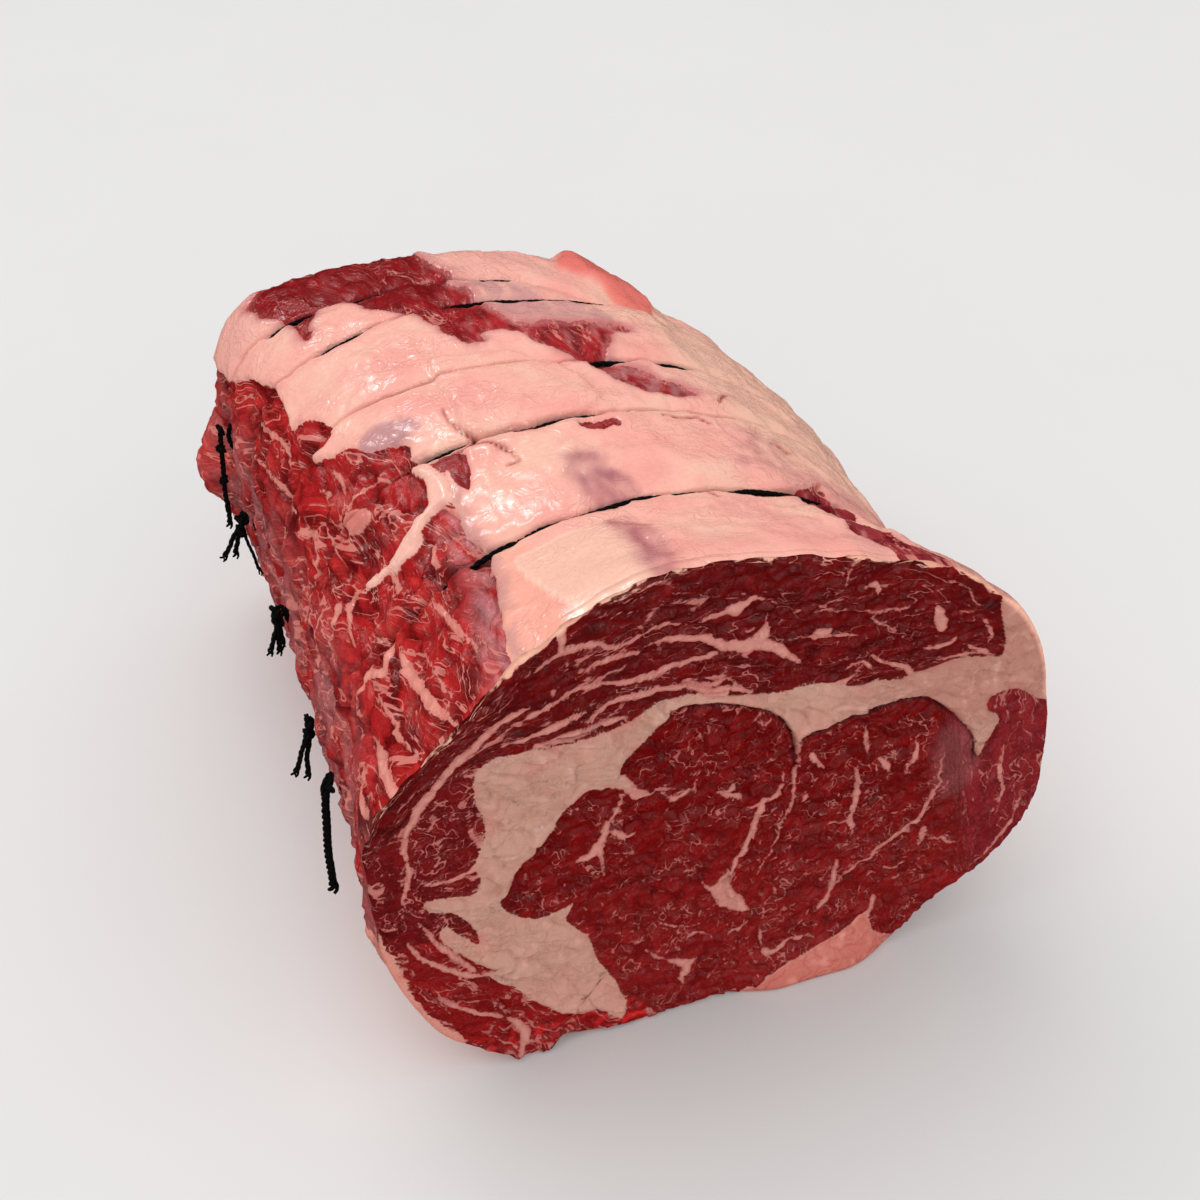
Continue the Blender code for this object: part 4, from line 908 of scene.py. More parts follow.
def make_mesh(name, points, faces, colours):
    """A piece from millimetre points, with its colour fields stored on its points."""
    place = np.asarray(points, float) * MM
    place[:, 1] -= LENGTH / 2 * MM
    mesh = bpy.data.meshes.new(name)
    mesh.vertices.add(len(place))
    mesh.vertices.foreach_set("co", place.ravel())
    faces = [np.asarray(block) for block in faces if len(block)]
    sizes = np.concatenate([np.full(len(block), block.shape[1]) for block in faces])
    corners = np.concatenate([block.ravel() for block in faces])
    mesh.loops.add(len(corners))
    mesh.loops.foreach_set("vertex_index", corners.astype(np.int32))
    mesh.polygons.add(len(sizes))
    starts = np.concatenate([[0], np.cumsum(sizes)[:-1]])
    mesh.polygons.foreach_set("loop_start", starts.astype(np.int32))
    mesh.polygons.foreach_set("use_smooth", np.ones(len(sizes), bool))
    mesh.update(calc_edges=True)
    for key, values in colours.items():
        values = np.asarray(values, float)
        if values.ndim == 2:
            layer = mesh.attributes.new(key, "FLOAT_COLOR", "POINT")
            full = np.ones((len(place), 4))
            full[:, :3] = values
            layer.data.foreach_set("color", full.ravel())
        else:
            layer = mesh.attributes.new(key, "FLOAT", "POINT")
            layer.data.foreach_set("value", values.ravel())
    mesh.validate()
    thing = bpy.data.objects.new(name, mesh)
    bpy.context.collection.objects.link(thing)
    return thing


def ring_faces(first, second, closed=True, flip=False):
    """Quads between two rings of point numbers."""
    first, second = np.asarray(first), np.asarray(second)
    if closed:
        a, b = first, np.roll(first, -1)
        c, d = np.roll(second, -1), second
    else:
        a, b, c, d = first[:-1], first[1:], second[1:], second[:-1]
    quads = np.stack([a, b, c, d], 1)
    return quads[:, ::-1] if flip else quads


def body_angles():
    """Angles round the roast, closer together over the top and the left side."""
    dense = np.arange(18, 198, 0.62)
    sparse = np.linspace(dense[-1] + 0.62, 378 - 1.2, 112)
    return np.concatenate([dense, sparse])


def body_rows():
    """Rows along the roast, close together at the ties."""
    rows = [1.2, 2.0, 2.9, 3.8, 4.8]
    place = 6.0
    lines = [tie[0] for tie in TIES]
    while place < LENGTH - 0.3:
        rows.append(place)
        away = min(abs(place - line) for line in lines)
        place += 0.36 if away < 2.2 else 0.8 if away < 6 else 1.3
        if place > LENGTH - 8:
            place -= 0.5
    return rows + [LENGTH - 0.2]


def normals_of(x, y, z):
    """Outward normals of a closed grid of rows."""
    p = np.stack([x, y, z], -1)
    round_ = np.roll(p, -1, 1) - np.roll(p, 1, 1)
    back = np.gradient(p, axis=0)
    n = np.cross(round_, back)
    n = n / np.maximum(np.linalg.norm(n, axis=-1, keepdims=True), 1e-9)
    return -n if np.mean(n[..., 2] * (z - MID_Z)) < 0 else n


ANGLES = body_angles()
ROWS = body_rows()
BASE_X, BASE_Y, BASE_Z, BASE_R = base_surface(ANGLES, ROWS)


def make_body():
    angle = np.broadcast_to(ANGLES[None, :], BASE_X.shape)
    f, lean, fat, share = body_colours(angle, BASE_Y, BASE_X)
    marbling = 0.72 + 0.3 * f["far"] - 0.3 * ramp(f["band"], -1, 1)
    marbling = marbling * (1 - ramp(f["window"], -2, 0)) * (1 - ramp(f["notch"], -2, 0))
    flow = np.stack([BASE_Y / 2.4 + 5.0 * f["drift"], f["girth"] - 0.1 * BASE_Y + 7.0 * f["drift"], 0 * BASE_Y], -1)
    lift = body_lift(angle, BASE_Y, BASE_X, f)
    front = ramp(np.array(ROWS), 4.0, 14.0)[:, None]
    lift = lift * front - 0.14 * (1 - ramp(np.array(ROWS), 1.2, 4.2))[:, None]
    n = normals_of(BASE_X, BASE_Y, BASE_Z)
    n[..., 1] *= ramp(np.array(ROWS), 4, 20)[:, None]
    points = np.stack([BASE_X, BASE_Y, BASE_Z], -1) + n * lift[..., None]
    points[..., 2] = np.maximum(points[..., 2], 0.1)
    rows, columns = BASE_X.shape
    number = np.arange(rows * columns).reshape(rows, columns)
    faces = [ring_faces(number[i], number[i + 1], flip=True) for i in range(rows - 1)]
    middle = np.array([MID_X, 0, MID_Z])
    extra, place = [], rows * columns
    ends = []
    for row, into in ((0, (0.985, 0.80, 0.4)), (rows - 1, (0.97, 0.80, 0.4))):
        ring = points[row]
        rings = [number[row]]
        for share_out in into:
            inner = middle + (ring - middle) * [share_out, 0, share_out]
            inner[:, 1] = ring[:, 1].mean() + (1.5 if row == 0 else -4.0)
            extra.append(inner)
            rings.append(np.arange(place, place + columns))
            place += columns
        extra.append(np.array([[MID_X, extra[-1][:, 1].mean(), MID_Z]]))
        ends.append((row, rings, place))
        place += 1
    for row, rings, centre in ends:
        for one, two in zip(rings, rings[1:]):
            faces.append(ring_faces(one, two, flip=row != 0)[:, ::1])
        last = rings[-1]
        fan = np.stack([last, np.roll(last, -1), np.full(columns, centre)], 1)
        faces.append(fan if row == 0 else fan[:, ::-1])
    total = np.concatenate([points.reshape(-1, 3)] + extra)

    def padded(values):
        values = values.reshape(rows * columns, -1)
        more = np.broadcast_to(values.mean(0), (len(total) - len(values), values.shape[1]))
        return np.concatenate([values, more]).squeeze()

    # faces of different sizes are kept in blocks
    quads = np.concatenate([block for block in faces if block.shape[1] == 4])
    tris = np.concatenate([block for block in faces if block.shape[1] == 3])
    return make_mesh("roast_body", total, [quads, tris], dict(lean_tint=padded(lean), fat_tint=padded(fat), flow=padded(flow),
                                                             fat_share=padded(share), marbling=padded(marbling)))


def disc_grid(count):
    """A square grid bent into a disc: angle in degrees and radius 0 to 1 for each point."""
    line = np.linspace(-1, 1, count + 1)
    a, b = np.meshgrid(line, line, indexing="ij")
    size = np.maximum(np.abs(a), np.abs(b))
    with np.errstate(all="ignore"):
        turn = np.where(np.abs(a) >= np.abs(b), np.where(a > 0, 45 * b / np.where(a == 0, 1, a),
                        180 + 45 * b / np.where(a == 0, 1, a)),
                        np.where(b > 0, 90 - 45 * a / np.where(b == 0, 1, b), 270 - 45 * a / np.where(b == 0, 1, b)))
    return turn % 360, size


def edge_loop(count):
    """Point numbers round the edge of a square grid, in order of rising angle."""
    n = count + 1
    number = np.arange(n * n).reshape(n, n)
    return np.concatenate([number[-1, :-1], number[::-1, -1][:-1], number[0, ::-1][:-1], number[:, 0][:-1]])


FACE_MID_X, FACE_MID_Z = 0.0, 76.0


def make_cut(name, count, outline, to_face, place_y, direction, thickness, body_side=None):
    """A cut end of the roast: a bent square grid with relief, closed by a side and a back."""
    turn, size = disc_grid(count)
    edge = look_up(turn, outline)
    radius = edge * size
    x = FACE_MID_X + radius * np.cos(np.radians(turn))
    z = np.maximum(FACE_MID_Z + radius * np.sin(np.radians(turn)), 0.1)
    fx, fz = to_face(x, z)
    f, lean, fat, share = face_colours(fx, fz)
    lift = face_lift(fx, fz, f, direction > 0)
    marbling = 0.5 * f["eye"] + 0.4 * f["cap"] + 0.7 * f["left"] + 0.7 * f["low_left"] + 0.5 * f["right"]
    flow = f["flow"].reshape(-1, 3)
    y = place_y - direction * lift
    n = count + 1
    number = np.arange(n * n).reshape(n, n)
    quads = np.stack([number[:-1, :-1], number[1:, :-1], number[1:, 1:], number[:-1, 1:]], -1).reshape(-1, 4)
    if direction < 0:
        quads = quads[:, ::-1]
    points = [np.stack([x.ravel(), y.ravel(), z.ravel()], 1)]
    leans, fats, shares = [lean.reshape(-1, 3)], [fat.reshape(-1, 3)], [share.ravel()]
    loop = edge_loop(count)
    faces = [quads]
    previous, place = loop, n * n
    loop_points = points[0][loop]
    for back, grow in thickness:
        ring = loop_points.copy()
        middle = np.array([MID_X, 0, MID_Z])
        arm = ring - middle
        arm[:, 1] = 0
        reach = np.linalg.norm(arm, axis=1, keepdims=True)
        ring = ring + arm / reach * grow
        ring[:, 1] = place_y + direction * np.maximum(direction * (ring[:, 1] - place_y) + 0.1, back)
        ring[:, 2] = np.maximum(ring[:, 2], 0.1)
        angle = np.degrees(np.arctan2(ring[:, 2] - MID_Z, ring[:, 0] - MID_X)) % 360
        _, side_lean, side_fat, side_share = body_colours(angle, ring[:, 1], ring[:, 0])
        leans.append(side_lean)
        fats.append(side_fat)
        shares.append(side_share)
        points.append(ring)
        current = np.arange(place, place + len(loop))
        place += len(loop)
        faces.append(ring_faces(previous, current, flip=direction < 0))
        previous = current
    centre_y = points[-1][:, 1].mean()
    points.append(np.array([[FACE_MID_X, centre_y, FACE_MID_Z]]))
    leans.append(leans[0][:1])
    fats.append(fats[0][:1])
    shares.append(shares[0][:1])
    fan = np.stack([previous, np.roll(previous, -1), np.full(len(previous), place)], 1)
    faces.append(fan if direction > 0 else fan[:, ::-1])
    quads = np.concatenate([block for block in faces if block.shape[1] == 4])
    tris = np.concatenate([block for block in faces if block.shape[1] == 3])
    return make_mesh(name, np.concatenate(points), [quads, tris],
                     dict(lean_tint=np.concatenate(leans), fat_tint=np.concatenate(fats),
                          flow=np.concatenate([flow] + [flow[loop]] * len(thickness) + [flow[:1]]),
                          fat_share=np.concatenate(shares),
                          marbling=np.concatenate([marbling.ravel(), np.full(sum(map(len, points[1:])), 0.7)])))


def outline_about(x, z):
    angle, radius = polar(x, z, FACE_MID_X, FACE_MID_Z)
    order = np.argsort(angle)
    return angle[order], radius[order]


# ---------------------------------------------------------------- twine

STRAND_OFFSET = 0.50
STRAND_SIZE = 0.56
TWINE_RADIUS = 0.82
TWIST_PITCH = 6.5


def even_path(points, step, closed=False):
    """The same line with points a step apart."""
    p = np.asarray(points, float)
    if closed:
        p = np.concatenate([p, p[:1]])
    reach = np.concatenate([[0], np.cumsum(np.linalg.norm(np.diff(p, axis=0), axis=1))])
    count = max(int(reach[-1] / step), 4)
    at = np.linspace(0, reach[-1], count + 1)
    if closed:
        at = at[:-1]
    return np.stack([np.interp(at, reach, p[:, k]) for k in range(3)], 1)


def sweep(path, radius, closed, sides=6):
    """A tube along a path, with one radius for each point, as points and faces."""
    p = np.asarray(path, float)
    count = len(p)
    radius = np.broadcast_to(radius, (count,))
    if closed:
        along = np.roll(p, -1, 0) - np.roll(p, 1, 0)
    else:
        along = np.gradient(p, axis=0)
    along = along / np.maximum(np.linalg.norm(along, axis=1, keepdims=True), 1e-9)
    side, up = carried_frames(along)
    turn = 2 * math.pi * np.arange(sides) / sides
    ring = side[:, None] * np.cos(turn)[None, :, None] + up[:, None] * np.sin(turn)[None, :, None]
    points = (p[:, None] + radius[:, None, None] * ring).reshape(-1, 3)
    number = np.arange(count * sides).reshape(count, sides)
    faces = [ring_faces(number[i], number[i + 1], flip=True) for i in range(count - 1)]
    if closed:
        faces.append(ring_faces(number[-1], number[0], flip=True))
        caps = np.zeros((0, 3), int)
    else:
        caps = np.array([(number[0, 0], number[0, k], number[0, k + 1]) for k in range(1, sides - 1)]
                        + [(number[-1, 0], number[-1, k + 1], number[-1, k]) for k in range(1, sides - 1)])
    return points, np.concatenate(faces), caps


def carried_frames(along):
    """Two directions square to a path, carried along it without twisting."""
    side = np.zeros_like(along)
    start = np.cross(along[0], (0.3, 1.0, 0.2))
    side[0] = start / np.linalg.norm(start)
    for i in range(1, len(along)):
        step = side[i - 1] - along[i] * np.dot(side[i - 1], along[i])
        side[i] = step / np.linalg.norm(step)
    return side, np.cross(along, side)


def rope(path, closed=False, fray=0.0, thickness=1.0, seed=0):
    """Three twisted strands along a path; fray is how far the ends come apart."""
    p = even_path(path, 0.75, closed)
    count = len(p)
    along = (np.roll(p, -1, 0) - np.roll(p, 1, 0)) if closed else np.gradient(p, axis=0)
    along = along / np.maximum(np.linalg.norm(along, axis=1, keepdims=True), 1e-9)
    side, up = carried_frames(along)
    reach = 0.75 * np.arange(count)
    total = reach[-1] + 0.75
    turns = round(total / TWIST_PITCH)
    parts = []
    for strand in range(3):
        turn = 2 * math.pi * (turns * reach / total + strand / 3)
        apart = np.full(count, STRAND_OFFSET)
        if fray:
            apart = apart + fray * np.clip((reach - total + 4.5) / 4.5, 0, 1) ** 1.5
        rough = 1 + 0.10 * noise(reach / 2.1, 0 * reach, 500 + seed + strand)
        middle = p + (TWINE_RADIUS * thickness * apart)[:, None] * (side * np.cos(turn)[:, None] + up * np.sin(turn)[:, None])
        size = TWINE_RADIUS * thickness * STRAND_SIZE * rough
        if fray:
            size = size * (1 - 0.45 * np.clip((reach - total + 2.5) / 2.5, 0, 1))
        parts.append(sweep(middle, size, closed))
    return parts


def knot_parts(centre, size, turn, seed):
    """A tight overhand knot with its axis along the twine."""
    t = np.linspace(0, 2 * math.pi, 60)[:-1]
    a = (np.sin(t) + 2 * np.sin(2 * t)) / 3
    b = (np.cos(t) - 2 * np.cos(2 * t)) / 3
    c = -np.sin(3 * t) / 3
    across, back, up = size * a, size * b, size * 1.25 * c
    ca, sa = math.cos(turn), math.sin(turn)
    path = np.stack([centre[0] + back * ca * 0.85 + up * sa * 0.4, centre[1] + across, centre[2] + up + 0.5 * back * sa], 1)
    return rope(path, True, 0, 0.92, seed)


# knot place, extra knots, and the tails' points, all as x, distance, z in mm
KNOTS = (
    dict(knots=((-94.8, 50, 69.4, 3.3),), tails=(
        (((-95.6, 50, 68), (-96.2, 50, 62), (-97.0, 49.5, 54), (-97.4, 49.2, 42), (-97.9, 49, 29.5)), 1.45),)),
    dict(knots=((-92.4, 93, 52.6, 2.3), (-93.2, 92.5, 48.6, 1.7)), tails=(
        (((-92.8, 93, 51), (-95.2, 91, 46), (-96.6, 90, 43), (-99.4, 88, 38)), 1.0),
        (((-92.6, 93, 51), (-93.6, 92, 45), (-95.0, 91, 39), (-95.6, 90, 33.4)), 1.0))),
    dict(knots=((-93.0, 127, 67.6, 2.5), (-93.4, 126.5, 63.6, 2.2)), tails=(
        (((-93.6, 126, 63), (-95.4, 124.6, 60), (-97.5, 123, 55)), 0.95),
        (((-93.4, 126, 63), (-94.2, 125, 58), (-94.4, 124, 53.6)), 0.95),
        (((-93.0, 126, 63), (-92.8, 126, 58.6), (-93.2, 125, 54.5)), 0.9))),
    dict(knots=((-95.0, 170, 71.7, 2.9), (-96.2, 169, 68.6, 2.1)), tails=(
        (((-95.8, 169.5, 70), (-98.8, 168, 67), (-101, 167, 63.4), (-103.5, 166, 61)), 1.0),
        (((-95.4, 169.5, 70), (-97.2, 169, 65.6), (-98.2, 168.6, 62.6), (-99, 168, 59.1)), 1.0),
        (((-95.0, 170, 70), (-94.2, 170, 62), (-92.6, 170, 54), (-91.9, 170, 48.5)), 0.7))),
    dict(knots=((-94.6, 195, 90, 1.9), (-95.4, 194.8, 83, 1.5), (-96.2, 194.6, 71, 1.5), (-96.6, 194.2, 60.5, 1.6)), tails=(
        (((-94.8, 195, 89), (-95.6, 194.8, 80), (-96.3, 194.6, 70), (-96.8, 194, 60), (-97, 193.5, 52.4)), 1.05),)),
)
TWINE_DEPTH = 3.85


def make_twine(number, material):
    """One round of twine in its crease, with its knot and tails, as one piece."""
    tie_row = TIES[number - 1][0]
    x, y, z, radius = base_surface(ANGLES, [tie_row])
    angle = ANGLES % 360
    depth = TWINE_DEPTH + 0.2 * noise(ANGLES / 9, 0 * ANGLES, 400 + number) - 1.1 * between(angle, TIE_OPEN[number - 1])
    depth = depth + 1.2 * ramp(angle, 285, 300) * (1 - ramp(angle, 340, 352))
    knots = KNOTS[number - 1]["knots"]
    kx, _, kz, _ = knots[0]
    knot_angle = math.degrees(math.atan2(kz - MID_Z, kx - MID_X)) % 360
    near = np.exp(-((angle - knot_angle - 1.5) / 5.0) ** 2)
    depth = depth * (1 - near) - 0.9 * near
    scale = 1 - depth / radius[0]
    path = np.stack([MID_X + (x[0] - MID_X) * scale, y[0], np.maximum(MID_Z + (z[0] - MID_Z) * scale, 1.1)], 1)
    path[:, 1] += 0.3 * noise(ANGLES / 12, 0 * ANGLES, 410 + number)
    parts = rope(path, True, 0, 1.0, number)
    for index, (cx, cy, cz, size) in enumerate(knots):
        parts += knot_parts((cx, cy, cz), size, 0.9 * index + number, 20 * number + index)
    for index, (points, thickness) in enumerate(KNOTS[number - 1]["tails"]):
        line = curve(points, False, 8)
        reach = np.linspace(0, 1, len(line))
        line[:, 1] += 0.35 * np.sin(9 * reach + number + index) * reach
        line[:, 0] += 0.25 * np.sin(13 * reach + 2 * number) * reach
        parts += rope(line, False, 0.9, thickness, 40 + 3 * number + index)
    points, quads, tris, place = [], [], [], 0
    for block, four, three in parts:
        points.append(block)
        quads.append(four + place)
        tris.append(three + place)
        place += len(block)
    piece = make_mesh(f"black_twine_{number}", np.concatenate(points), [np.concatenate(quads), np.concatenate(tris)], {})
    piece.data.materials.append(material)
    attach(piece, "root")
    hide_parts(f"twine_{number}")
    return piece


# ---------------------------------------------------------------- materials

def link(tree, source, target):
    tree.links.new(source, target)


def math_node(tree, operation, a, b=None, clamp=False):
    node = tree.nodes.new("ShaderNodeMath")
    node.operation = operation
    node.use_clamp = clamp
    for socket, value in zip(node.inputs, (a, b)):
        if value is None:
            continue
        if isinstance(value, (int, float)):
            socket.default_value = value
        else:
            link(tree, value, socket)
    return node.outputs[0]


def noise_node(tree, place, scale, detail=3.0, rough=0.6, distortion=0.0):
    node = tree.nodes.new("ShaderNodeTexNoise")
    node.inputs["Scale"].default_value = scale
    node.inputs["Detail"].default_value = detail
    node.inputs["Roughness"].default_value = rough
    node.inputs["Distortion"].default_value = distortion
    link(tree, place, node.inputs["Vector"])
    return node.outputs["Fac"]


def noise_colour(tree, place, scale, detail):
    node = tree.nodes.new("ShaderNodeTexNoise")
    node.inputs["Scale"].default_value = scale
    node.inputs["Detail"].default_value = detail
    link(tree, place, node.inputs["Vector"])
    return node.outputs["Color"]


def smooth_step(tree, value, low, high, to_low=0.0, to_high=1.0):
    node = tree.nodes.new("ShaderNodeMapRange")
    node.interpolation_type = "SMOOTHSTEP"
    node.inputs["From Min"].default_value = low
    node.inputs["From Max"].default_value = high
    node.inputs["To Min"].default_value = to_low
    node.inputs["To Max"].default_value = to_high
    link(tree, value, node.inputs["Value"])
    return node.outputs["Result"]


def mix_colours(tree, share, first, second, way="MIX"):
    node = tree.nodes.new("ShaderNodeMix")
    node.data_type = "RGBA"
    node.blend_type = way
    if isinstance(share, (int, float)):
        node.inputs[0].default_value = share
    else:
        link(tree, share, node.inputs[0])
    for socket, value in ((node.inputs[6], first), (node.inputs[7], second)):
        if isinstance(value, tuple):
            socket.default_value = value
        else:
            link(tree, value, socket)
    return node.outputs[2]


def attribute(tree, name, output):
    node = tree.nodes.new("ShaderNodeAttribute")
    node.attribute_name = name
    return node.outputs[output]


def meat_material():
    """Lean and fat: their tints come with the mesh, and the fine grain is made here."""
    material = bpy.data.materials.new("meat")
    material.use_nodes = True
    tree = material.node_tree
    shader = tree.nodes["Principled BSDF"]
    coordinates = tree.nodes.new("ShaderNodeTexCoord").outputs["Object"]
    flow = attribute(tree, "flow", "Vector")
    lean = attribute(tree, "lean_tint", "Color")
    fat = attribute(tree, "fat_tint", "Color")
    share = attribute(tree, "fat_share", "Fac")
    edge = noise_node(tree, flow, 1.1, 4, 0.65)
    shifted = math_node(tree, "ADD", share, math_node(tree, "MULTIPLY", math_node(tree, "SUBTRACT", edge, 0.5), 1.5))
    mask = smooth_step(tree, shifted, -0.12, 0.16)
    # branching wisps of fat too fine for the mesh, as many as the marbling field says
    marbling = attribute(tree, "marbling", "Fac")
    amount = smooth_step(tree, noise_node(tree, flow, 0.11, 2), 0.38, 0.64)
    limit = math_node(tree, "MULTIPLY", amount, marbling)
    wide_line = math_node(tree, "ABSOLUTE", math_node(tree, "SUBTRACT", noise_node(tree, flow, 0.24, 2, 0.5, 0.12), 0.5))
    wide = smooth_step(tree, math_node(tree, "SUBTRACT", math_node(tree, "MULTIPLY", limit, 0.034), wide_line),
                       -0.002, 0.007, 0.0, 0.9)
    thin_line = math_node(tree, "ABSOLUTE", math_node(tree, "SUBTRACT", noise_node(tree, flow, 0.55, 1, 0.5, 0.15), 0.5))
    thin = smooth_step(tree, math_node(tree, "SUBTRACT", math_node(tree, "MULTIPLY", limit, 0.032), thin_line),
                       -0.003, 0.010, 0.0, 0.26)
    mask = math_node(tree, "MAXIMUM", mask, math_node(tree, "MAXIMUM", wide, thin))
    # bundles of fibres, each a little lighter or darker than the next
    bundle = tree.nodes.new("ShaderNodeTexVoronoi")
    bundle.inputs["Scale"].default_value = 0.30
    bundle.inputs["Randomness"].default_value = 0.95
    bent = mix_colours(tree, 0.10, flow, noise_colour(tree, flow, 0.35, 2), "LINEAR_LIGHT")
    link(tree, bent, bundle.inputs["Vector"])
    grain = noise_node(tree, flow, 1.6, 3, 0.65)
    one = tree.nodes.new("ShaderNodeSeparateColor")
    link(tree, bundle.outputs["Color"], one.inputs["Color"])
    lean = mix_colours(tree, 1.0, lean, mix_colours(tree, one.outputs["Red"], (0.82, 0.70, 0.71, 1), (1.16, 1.20, 1.18, 1)),
                       "MULTIPLY")
    lean = mix_colours(tree, 1.0, lean, mix_colours(tree, smooth_step(tree, grain, 0.28, 0.72), (0.84, 0.74, 0.74, 1),
                                                    (1.18, 1.24, 1.24, 1)), "MULTIPLY")
    speck = noise_node(tree, coordinates, 700, 3, 0.6)
    fat = mix_colours(tree, 1.0, fat, mix_colours(tree, smooth_step(tree, speck, 0.3, 0.7), (0.985, 0.965, 0.965, 1),
                                                  (1.012, 1.02, 1.02, 1)), "MULTIPLY")
    link(tree, mix_colours(tree, mask, lean, fat), shader.inputs["Base Color"])
    rough = math_node(tree, "ADD", smooth_step(tree, speck, 0.2, 0.8, 0.19, 0.35), smooth_step(tree, mask, 0, 1, 0.04, 0.0))
    link(tree, rough, shader.inputs["Roughness"])
    height = math_node(tree, "ADD", math_node(tree, "MULTIPLY", mask, 0.3),
                       math_node(tree, "MULTIPLY", grain, smooth_step(tree, mask, 0, 1, 0.6, 0.15)))
    cobble = math_node(tree, "MULTIPLY", bundle.outputs["Distance"], smooth_step(tree, mask, 0, 1, -0.9, 0.0))
    height = math_node(tree, "ADD", height, cobble)
    squiggle = math_node(tree, "ABSOLUTE", math_node(tree, "SUBTRACT", noise_node(tree, coordinates, 170, 2, 0.5, 1.0), 0.5))
    squiggle = smooth_step(tree, squiggle, 0.0, 0.10, 1.0, 0.0)
    where = smooth_step(tree, noise_node(tree, coordinates, 45, 1), 0.42, 0.66, 0.10, 0.65)
    height = math_node(tree, "ADD", height, math_node(tree, "MULTIPLY", squiggle, where))
    bump = tree.nodes.new("ShaderNodeBump")
    bump.inputs["Strength"].default_value = 0.55
    bump.inputs["Distance"].default_value = 0.0006
    link(tree, height, bump.inputs["Height"])
    link(tree, bump.outputs["Normal"], shader.inputs["Normal"])
    shader.inputs["Specular IOR Level"].default_value = 0.20
    return material


def twine_material():
    material = bpy.data.materials.new("black_twine")
    material.use_nodes = True
    tree = material.node_tree
    shader = tree.nodes["Principled BSDF"]
    coordinates = tree.nodes.new("ShaderNodeTexCoord").outputs["Object"]
    fibre = noise_node(tree, coordinates, 2600, 3)
    colour = mix_colours(tree, fibre, (0.001, 0.001, 0.001, 1), (0.010, 0.009, 0.009, 1))
    link(tree, colour, shader.inputs["Base Color"])
    shader.inputs["Roughness"].default_value = 0.9
    shader.inputs["Specular IOR Level"].default_value = 0.06
    bump = tree.nodes.new("ShaderNodeBump")
    bump.inputs["Strength"].default_value = 0.6
    bump.inputs["Distance"].default_value = 0.0004
    link(tree, fibre, bump.inputs["Height"])
    link(tree, bump.outputs["Normal"], shader.inputs["Normal"])
    return material


def floor_material():
    material = bpy.data.materials.new("pale_floor")
    material.use_nodes = True
    tree = material.node_tree
    shader = tree.nodes["Principled BSDF"]
    coordinates = tree.nodes.new("ShaderNodeTexCoord").outputs["Object"]
    cloud = noise_node(tree, coordinates, 6, 4)
    link(tree, mix_colours(tree, cloud, (0.79, 0.79, 0.79, 1), (0.83, 0.83, 0.83, 1)), shader.inputs["Base Color"])
    shader.inputs["Roughness"].default_value = 0.6
    shader.inputs["Specular IOR Level"].default_value = 0.2
    return material


# ---------------------------------------------------------------- the scene

def add_light(name, place, target, size, power, colour):
    data = bpy.data.lights.new(name, "AREA")
    data.shape = "SQUARE"
    data.size = size
    data.energy = power
    data.color = colour
    lamp = bpy.data.objects.new(name, data)
    lamp.location = place
    lamp.rotation_euler = (Vector(target) - Vector(place)).to_track_quat("-Z", "Y").to_euler()
    bpy.context.collection.objects.link(lamp)
    return lamp


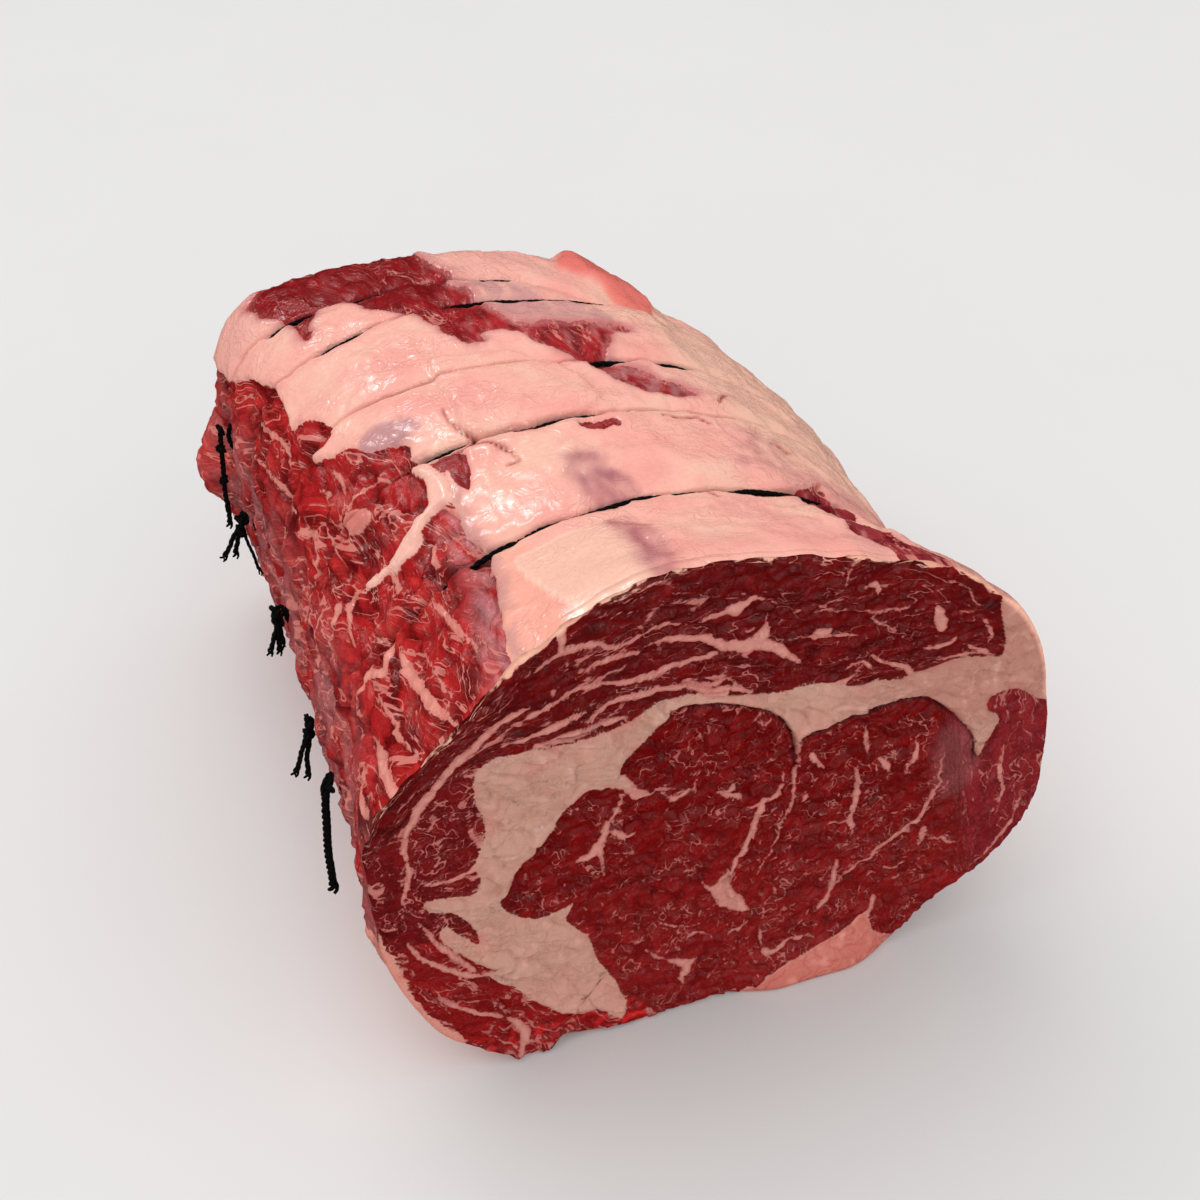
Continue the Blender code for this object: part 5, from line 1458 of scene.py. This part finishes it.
def make_stage():
    bpy.ops.mesh.primitive_plane_add(size=6, location=(0, 0, 0))
    floor = bpy.context.object
    floor.name = "floor"
    floor.data.materials.append(floor_material())
    world = bpy.data.worlds.new("soft_room")
    world.use_nodes = True
    world.node_tree.nodes["Background"].inputs["Color"].default_value = (1.0, 0.995, 0.99, 1)
    world.node_tree.nodes["Background"].inputs["Strength"].default_value = 0.72
    world.cycles_visibility.glossy = False
    floor.visible_glossy = False
    bpy.context.scene.world = world
    sun = bpy.data.lights.new("sky_panel", "SUN")
    sun.energy = 0.92
    sun.angle = math.radians(60)
    sun.color = (1.0, 0.99, 0.98)
    panel = bpy.data.objects.new("sky_panel", sun)
    panel.rotation_euler = Vector((0.30, -0.42, -1.0)).to_track_quat("-Z", "Y").to_euler()
    panel.visible_glossy = False
    bpy.context.collection.objects.link(panel)
    fill = bpy.data.lights.new("front_fill", "SUN")
    fill.energy = 0.35
    fill.angle = math.radians(80)
    front = bpy.data.objects.new("front_fill", fill)
    front.rotation_euler = Vector((-0.1, 1.0, -0.6)).to_track_quat("-Z", "Y").to_euler()
    front.visible_glossy = False
    bpy.context.collection.objects.link(front)
    glints = add_light("glints", (-0.35, 0.75, 0.95), (0, 0, 0.08), 0.14, 6.5, (1.0, 1.0, 1.0))
    glints.visible_diffuse = False
    front_glints = add_light("front_glints", (-0.25, -1.1, 1.0), (0, -0.1, 0.06), 0.14, 7.0, (1.0, 1.0, 1.0))
    front_glints.visible_diffuse = False
    low_glints = add_light("low_glints", (0.30, -1.0, 0.06), (0, -0.1, 0.07), 0.12, 1.0, (1.0, 1.0, 1.0))
    low_glints.visible_diffuse = False
    for lamp in (glints, front_glints, low_glints):
        lamp.visible_camera = False
    bpy.context.scene.view_settings.view_transform = "Standard"
    bpy.context.scene.view_settings.look = "None"


def make_camera():
    data = bpy.data.cameras.new("camera")
    data.lens = 49.5
    data.sensor_width = 36
    data.dof.use_dof = False
    camera = bpy.data.objects.new("camera", data)
    camera.location = (-0.1307, -0.3718, 0.3872)
    camera.rotation_euler = Vector((0.2620, 0.7198, -0.6428)).to_track_quat("-Z", "Y").to_euler()
    bpy.context.collection.objects.link(camera)
    bpy.context.scene.camera = camera


def make_roast():
    meat = meat_material()
    rim_line = RIM_LINE
    front_outline = outline_about(rim_line[:, 0], rim_line[:, 1])
    front = make_cut("roast_cut_face", 284, front_outline, lambda x, z: (x, z), 0.0, 1,
                     ((0.05, 0.0), (1.9, 0.0), (3.8, -0.18), (4.0, -2.0), (4.0, -12.0)))
    last = -1
    rear_outline = outline_about(BASE_X[last], BASE_Z[last])

    def from_rear(x, z):
        turn, reach = polar(x, z, FACE_MID_X, FACE_MID_Z)
        scale = look_up(turn, front_outline) / look_up(turn, rear_outline)
        return FACE_MID_X + (x - FACE_MID_X) * scale, FACE_MID_Z + (z - FACE_MID_Z) * scale

    rear = make_cut("roast_rear_face", 170, rear_outline, from_rear, LENGTH - 0.3, -1, ((0.3, 0.2), (1.0, 0.3), (2.0, -2.0)))
    body = make_body()
    for piece in (front, rear, body):
        piece.data.materials.append(meat)
        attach(piece, "root")
    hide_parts("roast")
    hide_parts("roast")
    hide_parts("roast")


make_camera()
make_stage()
make_roast()
TWINE = twine_material()
for tie_number in range(1, 6):
    make_twine(tie_number, TWINE)
